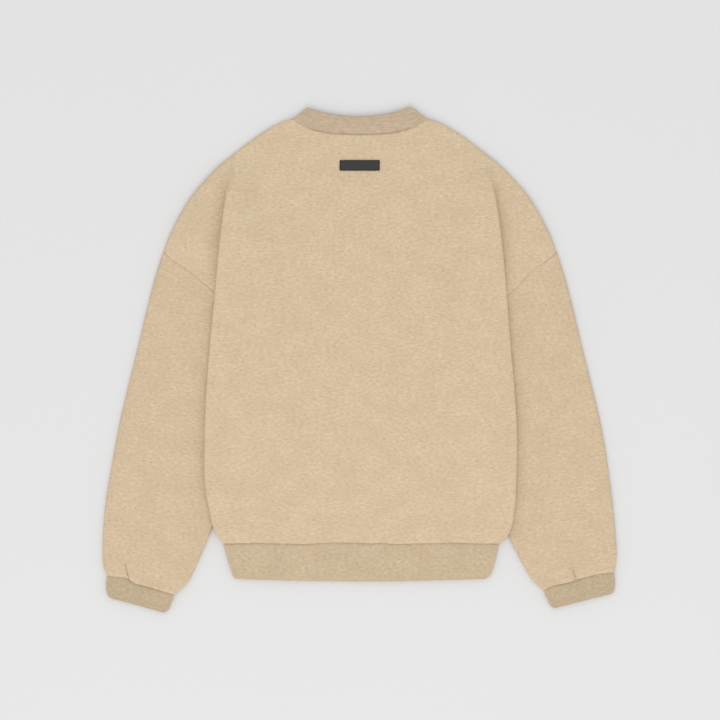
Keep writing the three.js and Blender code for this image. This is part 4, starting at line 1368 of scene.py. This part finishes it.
@dataclass
class Sleeve:
    """A sleeve: a flattened tube, fuller where it is free and gathered in at the cuff."""

    side: Side
    flat: tuple[float, float] = (0.39, 0.51)
    area: float = 0.157
    stations: int = 176
    around: int = 168
    lean: float = math.radians(14)
    edge_roll: float = 0.2

    def build(self, material: Material) -> Piece:
        shape = LaidShape(self.side)
        rows = shape.sections
        last = len(rows) - 1
        sign = self.side.value
        t = np.linspace(0, 1, self.stations)
        middle = 0.2 + (last - 0.55) * (1 - (1 - t) ** 1.35)
        first = [0, 0.012, 0.026, 0.044, 0.068, 0.1, 0.145]
        end = [last - 0.3, last - 0.23, last - 0.17, last - 0.12, last - 0.075, last - 0.035, last]
        stations = np.concatenate([first, middle, end])
        shares = np.arange(self.around) / self.around
        wander = table_curve(CUFF_SEAM_WANDER[self.side])
        ends = ([(sign * r.out_x, r.out_y), (sign * r.in_x, r.in_y)] for r in (rows[0], rows[-1]))
        armhole, cuff = (np.array(line, float) for line in ends)
        c, s = math.cos(self.lean), math.sin(self.lean) * sign
        grid, flats = [], []
        for k, section in zip(stations, sections_at(rows, stations)):
            full = float(ramp(k, last - 5, last - 1))
            high = LOWER_Z + 0.9 * float(ramp(k, 9, 12)) + 0.6 * full
            points, across = tube_ring(section, sign, FLEECE, FRONT_Z, high, shares)
            on_top = across >= 0
            covered = 0.42 + 0.05 * k if k < 9.5 else 0.895 + 0.3 * float(ramp(k, 9.5, 11))
            free = float(ramp(k, 0.3, 6))
            bow = (1.5 + 0.6 * full) * free * np.sin(np.pi * np.clip(across / covered, 0, 1))
            x, y = points[:, 0], points[:, 1]
            soft = window(across, (0, 0.05), (covered - 0.1, covered))
            soft_end = window(across, (0, 0.02), (0.98, 1)) * (k > 10.5)
            relief = crease_relief(SLEEVE_CREASES[self.side], sign * x, y) * np.maximum(soft, soft_end)
            relief += 0.8 * ripple(x, y, 1.1 + sign) * soft
            d_arm = distance_to(armhole, x, y)
            d_cuff = distance_to(cuff, x, y)
            gap = sign * x - shape.fold(np.clip(y, HEM_SEAM_Y, FOLD_TOP_Y))
            relief += (line_relief(ARMHOLE_SLEEVE_LINE, d_arm) + pucker(x - y, d_arm, 4.0)) * (soft > 0.2)
            relief += line_relief(CUFF_LINE, d_cuff) + pucker(x, d_cuff, 5.0)
            relief += line_relief(CUFF_PUFF, d_cuff) * soft_end
            near = np.where(gap > 0, bell(gap, 13), bell(gap, 24)) * (1 - 0.8 * bell(d_arm, 6))
            relief -= FOLD_DIP * near * window(y, *SLEEVE_DIP_SPANS) * ramp(across, 0.1, 0.3)
            points[:, 2] += np.where(on_top, bow + relief, 0)
            moved = wander(across) * bell(d_cuff, 9) - shape.armhole_sag(sign * x) * bell(d_arm, 38)
            points[:, 1] += np.where(on_top, moved, 0)
            grid.append(points)
            flats.append(np.column_stack([c * x + s * y + KNIT_DROP * points[:, 2], -s * x + c * y]))
        node = f"sleeve_{self.side.word}"
        cut = Cut(f"{node}_cloth", node, "sleeve_fleece", self.flat, self.area)
        return cut.fleece(Sheet.tube(grid, flats), self.edge_roll, material)


@dataclass
class Cuff:
    """A cuff: fine rib folded double, its folded edge free."""

    side: Side
    flat: tuple[float, float] = (0.2, 0.035)
    area: float = 0.007
    rows: int = 22
    around: float = 212.0
    high: float = 5.7
    length: float = 34.0

    def build(self, material: Material) -> Piece:
        table = CUFF_ROWS[self.side]
        sign = self.side.value
        count = RIB_STEPS * round(self.around / RIB_PITCH)
        shares = np.arange(count) / count
        stations = (len(table) - 1) * np.linspace(0, 1, self.rows) ** 1.3
        wander = table_curve(CUFF_SEAM_WANDER[self.side])
        grid, flats = [], []
        for k, section in zip(stations, sections_at(table, stations)):
            t = k / (len(table) - 1)
            high = self.high - 0.8 * float(ramp(t, 0.75, 1)) - 1.3 * float(bell(t, 0.07))
            points, across = tube_ring(section, sign, RIB, RIB_FRONT_Z, high, shares)
            on_top = across >= 0
            points[:, 1] += np.where(on_top, wander(across), 0) * bell(t, 0.3)
            soft = window(across, (0, 0.04), (0.96, 1))
            points[:, 2] += np.where(on_top, 0.35 * np.sin(points[:, 0] / 13 + sign) * soft, 0)
            grid.append(points)
            flats.append(rib_places(count, -self.length * t))
        node = f"cuff_{self.side.word}"
        cut = Cut(f"{node}_knit", node, "rib_knit", self.flat, self.area)
        return cut.rib(Sheet.tube(grid, flats), count, material)


def rib_places(count: int, up: float) -> np.ndarray:
    """Places on the knit of one row of a rib band."""
    return np.column_stack([np.arange(count) / RIB_STEPS * RIB_PITCH, np.full(count, up)])


@dataclass
class HemRib:
    """The rib band round the hem."""

    flat: tuple[float, float] = (0.82, 0.058)
    area: float = 0.0465
    rows: int = 17
    around: float = 812.0
    high: float = 6.4
    length: float = 57.0

    def build(self, material: Material) -> Piece:
        down = np.linspace(0, 1, self.rows) ** 1.4
        seam_wander = Curve.of(HEM_SEAM_WANDER, "x", "y")
        count = RIB_STEPS * round(self.around / RIB_PITCH)
        shares = np.arange(count) / count
        grid, flats = [], []
        for t, left, right, y, dip in zip(down, *columns_at(HEM_ROWS, (len(HEM_ROWS) - 1) * down)):
            seam = 2.0 * float(bell(t, 0.03)) + 0.5 * float(bell(t, 0.1))
            high = self.high - 0.9 * float(ramp(t, 0.82, 1)) - seam
            section = Section(float(right), float(y), float(-left), float(y))
            points, across = tube_ring(section, 1, RIB, RIB_FRONT_Z, high, shares)
            on_top = across >= 0
            x = points[:, 0]
            u = np.where(x < 0, x / left, x / right)
            points[:, 1] -= dip * (1 - u * u)
            points[:, 1] += seam_wander(x) * bell(t, 0.2) * on_top
            soft = window(across, (0, 0.03), (0.97, 1))
            wave = 0.3 * np.sin(x / 27 + 1.3 * math.sin(3 * t)) + 0.18 * np.sin(x / 9.5 + 2 * t)
            points[:, 2] += np.where(on_top, wave * soft, 0)
            grid.append(points)
            flats.append(rib_places(count, -self.length * t))
        cut = Cut("hem_rib_knit", "hem_rib", "rib_knit", self.flat, self.area)
        return cut.rib(Sheet.tube(grid, flats), count, material)


@dataclass
class NeckRib:
    """The collar: its back on top, its front lower and on the floor."""

    flat: tuple[float, float] = (0.48, 0.028)
    area: float = 0.0128
    rows: int = 18
    back_ribs: int = 27
    front_ribs: int = 36
    length: float = 28.0
    tilt: float = 0.011
    shift: float = 1.6

    def row(self, v: float) -> np.ndarray:
        """One closed row of the collar.

        Args:
            v: place from the seam, 0, to the free edge, 1.

        Returns:
            Points round the row.
        """
        columns = columns_at(COLLAR_ROWS, v * (len(COLLAR_ROWS) - 1))
        half, corner_y, back_y, front_y = (float(c) for c in columns)
        seam = Curve.of(NECK_SEAM, "x", "y")
        low = NECK_SEAM[0].y
        radius = (SHOULDER_Z - RIB_FRONT_Z) / 2
        tip = np.array([half - 1.3, corner_y - 0.5])
        u = np.linspace(0, tip[0] / half, 150)
        rise = mix((seam(u * NECK_HALF) - low) / (NECK_CORNER_Y - low), u**2.2, v)
        back = np.column_stack([u * half, mix(back_y, corner_y, rise)])
        front = np.column_stack([u * half, mix(front_y, corner_y, u**FRONT_NECK_POWER)])
        back[-1] = front[-1] = tip
        back = self.stretch(back, radius, self.back_ribs * RIB_STEPS)
        front = self.stretch(front, radius, self.front_ribs * RIB_STEPS)
        angle = np.linspace(0, math.pi, RIB_STEPS + 1)[1:-1]
        toward = np.where(angle[:, None] < math.pi / 2, back[-1], front[-1])
        arc = tip + (toward - tip) * (1 - np.sin(angle))[:, None]
        middle = RIB_FRONT_Z + radius
        half_ring = np.vstack(
            [
                np.column_stack([back, np.full(len(back), SHOULDER_Z)]),
                np.column_stack([arc, middle + radius * np.cos(angle)]),
                np.column_stack([front[::-1], np.full(len(front), RIB_FRONT_Z)]),
            ]
        )
        mirrored = half_ring[1:-1][::-1] * np.array([-1, 1, 1])
        return np.vstack([half_ring, mirrored])

    @staticmethod
    def stretch(line: np.ndarray, short: float, count: int) -> np.ndarray:
        """Even points along a line that stops short of its end."""
        s = lengths_along(line)
        at = np.linspace(0, s[-1] - short, count + 1)
        return np.column_stack([np.interp(at, s, line[:, k]) for k in (0, 1)])

    def build(self, material: Material) -> Piece:
        grid, flats = [], []
        for v in np.linspace(0, 1, self.rows) ** 1.25:
            ring = self.row(float(v))
            x = ring[:, 0]
            on_back = ring[:, 2] > SHOULDER_Z - 0.01
            dip = -1.9 * bell(v, 0.11) - 0.8 * bell(v - 0.2, 0.2)
            ring[:, 1] += self.tilt * x * v
            ring[:, 0] -= self.shift * v * ramp(np.abs(x), 40, 80)
            wave = (dip + 0.15 * np.sin(x / 11)) * (1 - ramp(np.abs(x), 70, 84))
            ring[:, 2] += np.where(on_back, wave, 0)
            grid.append(ring)
            flats.append(rib_places(len(ring), self.length * v))
        cut = Cut("neck_rib_knit", "neck_rib", "rib_knit", self.flat, self.area)
        return cut.rib(Sheet.tube(grid, flats), len(grid[0]), material)


@dataclass
class LabelPatch:
    """The rubber patch below the collar: a rounded plate with a thin raised rim, left bare."""

    centre: tuple[float, float] = (-0.5, 295.0)
    size: tuple[float, float] = (61.0, 16.0)
    corner: float = 1.6
    base: float = 6.42
    height: float = 1.35
    rim: float = 1.15
    sink: float = 0.35
    step: float = 0.2
    edge: float = 0.22

    def build(self, field_finish: Material, shaded_rim_finish: Material) -> Piece:
        """Models the patch from a block: rounded corners, inset top, sunk field, soft edges."""
        bpy.ops.object.select_all(action="DESELECT")
        place = (self.centre[0] * MM, self.centre[1] * MM, (self.base + self.height / 2) * MM)
        bpy.ops.mesh.primitive_cube_add(size=1, location=place)
        obj = bpy.context.object
        obj.name = obj.data.name = "label_plate"
        obj.scale = (self.size[0] * MM, self.size[1] * MM, self.height * MM)
        bpy.ops.object.transform_apply(location=True, rotation=True, scale=True)
        bpy.ops.object.mode_set(mode="EDIT")
        self.pick_upright_edges(obj)
        bpy.ops.mesh.bevel(offset=self.corner * MM, segments=6, affect="EDGES")
        self.pick_top(obj)
        bpy.ops.mesh.inset(thickness=self.rim * MM, depth=0)
        bpy.ops.mesh.extrude_region_move(TRANSFORM_OT_translate={"value": (0, 0, -self.sink * MM)})
        bpy.ops.mesh.inset(thickness=self.step * MM, depth=0)
        bpy.ops.object.mode_set(mode="OBJECT")
        obj.data.materials.append(field_finish)
        obj.data.materials.append(shaded_rim_finish)
        # The raised rim and the sides take the darker rim finish: painted shade along the edges
        inner_x, inner_y = (length / 2 - self.rim - 0.05 for length in self.size)
        for face in obj.data.polygons:
            c = face.center
            inside = abs(c.x / MM - self.centre[0]) < inner_x and abs(c.y / MM - self.centre[1]) < inner_y
            face.material_index = 0 if inside and face.normal.z > 0.5 else 1
        bevel = obj.modifiers.new("soft_edges", "BEVEL")
        bevel.width = self.edge * MM
        bevel.segments = 3
        bevel.limit_method = "ANGLE"
        bpy.ops.object.modifier_apply(modifier=bevel.name)
        bpy.ops.object.shade_smooth_by_angle(angle=math.radians(35))
        bpy.ops.object.select_all(action="DESELECT")
        LOG.info("label_plate: %d faces", len(obj.data.polygons))
        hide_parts("label_patch")
        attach(obj, "root")
        return obj

    @staticmethod
    def pick_upright_edges(obj: Piece) -> None:
        """Selects the block's upright edges."""
        bpy.ops.mesh.select_mode(type="EDGE")
        bm = bmesh.from_edit_mesh(obj.data)
        for face in bm.faces:
            face.select = False
        for edge in bm.edges:
            way = edge.verts[1].co - edge.verts[0].co
            edge.select = abs(way.z) > 0.9 * way.length
        bmesh.update_edit_mesh(obj.data)

    @staticmethod
    def pick_top(obj: Piece) -> None:
        """Selects the top face."""
        bpy.ops.mesh.select_all(action="DESELECT")
        bpy.ops.mesh.select_mode(type="FACE")
        bm = bmesh.from_edit_mesh(obj.data)
        top = max(f.calc_center_median().z for f in bm.faces)
        for face in bm.faces:
            face.select = face.normal.z > 0.9 and face.calc_center_median().z > top - 1e-6
        bmesh.update_edit_mesh(obj.data)


class Softbox(NamedTuple):
    """A square soft light: its name, place, side and power."""

    name: str
    place: tuple[float, float, float]
    size: float
    power: float


@dataclass
class Studio:
    """Plain floor, soft light from above and the camera straight over the garment."""

    floor_size: float = 14.0
    floor_tone: float = 0.757
    floor_grain: float = 0.004
    dome: float = 0.9
    softboxes: tuple[Softbox, ...] = (
        Softbox("softbox_above", (0.0, -1.2, 2.8), 2.4, 8.0),
        Softbox("softbox_low", (-0.5, -4.0, 2.8), 2.0, 32.0),
    )
    camera_height: float = 2.584
    lens: float = 85.0

    def build(self) -> None:
        """Adds the floor, the lights and the camera."""
        scene = bpy.context.scene
        scene.view_settings.view_transform = "Standard"
        scene.view_settings.look = "None"
        bpy.ops.object.select_all(action="DESELECT")
        bpy.ops.mesh.primitive_plane_add(size=self.floor_size, location=(0, 0, -0.0005))
        floor = bpy.context.object
        floor.name = "floor"
        floor.data.materials.append(self.floor_finish())
        for softbox in self.softboxes:
            self.add_light(softbox)
        world = bpy.data.worlds.new("studio")
        scene.world = world
        world.use_nodes = True
        white = {"Color": (1.0, 1.0, 1.0, 1.0), "Strength": self.dome}
        set_values(world.node_tree.nodes["Background"], white)
        data = bpy.data.cameras.new("camera")
        data.lens = self.lens
        data.sensor_width = 36.0
        camera = bpy.data.objects.new("camera", data)
        camera.location = (0.0, 0.0, self.camera_height)
        scene.collection.objects.link(camera)
        scene.camera = camera

    def floor_finish(self) -> Material:
        """Pale matt paper with a faint unevenness."""
        mat, shader = principled("floor_paper", {"Roughness": 0.9, "Specular IOR Level": 0.1})
        tree = mat.node_tree
        low, high = self.floor_tone - self.floor_grain, self.floor_tone + self.floor_grain
        place = add_node(tree, "TexCoord", {})
        grain = add_node(tree, "TexNoise", {"Scale": 3.0})
        tone = add_node(tree, "MapRange", {"To Min": low, "To Max": high})
        wire(
            tree,
            (place, "Object", grain, "Vector"),
            (grain, "Fac", tone, "Value"),
            (tone, "Result", shader, "Base Color"),
        )
        return mat

    @staticmethod
    def add_light(softbox: Softbox) -> None:
        """Adds one soft light that faces the garment."""
        data = bpy.data.lights.new(softbox.name, "AREA")
        data.size = softbox.size
        data.energy = softbox.power
        light = bpy.data.objects.new(softbox.name, data)
        light.location = softbox.place
        light.rotation_mode = "QUATERNION"
        light.rotation_quaternion = (-Vector(softbox.place)).to_track_quat("-Z", "Y")
        bpy.context.scene.collection.objects.link(light)


FLEECE_BODY = KnitFinish("fleece_body", (0.671, 0.524, 0.352), (0.801, 0.666, 0.493), (0.513, 0.385, 0.241))
# Sleeve fleece: a slightly darker copy of the body fleece, its extra darkness painted shade
FLEECE_SLEEVE_PAINTED_SHADE = KnitFinish(
    "fleece_sleeve_painted_shade", (0.657, 0.51, 0.341), (0.783, 0.648, 0.479), (0.503, 0.372, 0.232)
)
RIB_HEM = KnitFinish(
    "rib_hem", (0.614, 0.483, 0.327), (0.75, 0.615, 0.45), (0.467, 0.35, 0.223), relief=0.25
)
# Collar rib: a darker copy of the hem rib, its extra darkness painted shade
RIB_COLLAR_PAINTED_SHADE = KnitFinish(
    "rib_collar_painted_shade", (0.567, 0.44, 0.309), (0.704, 0.569, 0.425), (0.425, 0.317, 0.206), relief=0.25
)
# Cuff rib: a darker copy of the hem rib, its extra darkness painted shade
RIB_CUFF_PAINTED_SHADE = KnitFinish(
    "rib_cuff_painted_shade", (0.556, 0.441, 0.298), (0.688, 0.569, 0.411), (0.418, 0.318, 0.201), relief=0.25
)
LABEL_FIELD = RubberFinish("label_field", (0.024, 0.0245, 0.024))
# Rim rubber: a darker copy of the field rubber, its darkness painted shade along the patch's edges
LABEL_RIM_PAINTED_SHADE = RubberFinish("label_rim_painted_shade", (0.011, 0.011, 0.0115), 0.6)


def main() -> None:
    """Builds every piece of the sweatshirt and the studio round it."""
    logging.basicConfig(level=logging.INFO, format="%(message)s")
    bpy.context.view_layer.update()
    knit = HeatherGroup().build()
    body = FLEECE_BODY.build(knit)
    # The sleeves get the darker copy of the body fleece: painted shade
    sleeve = FLEECE_SLEEVE_PAINTED_SHADE.build(knit)
    rib = RIB_HEM.build(knit)
    # The collar and the cuffs get darker copies of the hem rib: painted shade
    collar = RIB_COLLAR_PAINTED_SHADE.build(knit)
    cuff = RIB_CUFF_PAINTED_SHADE.build(knit)
    BackPanel().build(body)
    FrontPanel().build(body)
    for side in Side:
        Sleeve(side).build(sleeve)
        Cuff(side).build(cuff)
    HemRib().build(rib)
    NeckRib().build(collar)
    LabelPatch().build(LABEL_FIELD.build(), LABEL_RIM_PAINTED_SHADE.build())
    Studio().build()


if __name__ == "__main__":
    main()
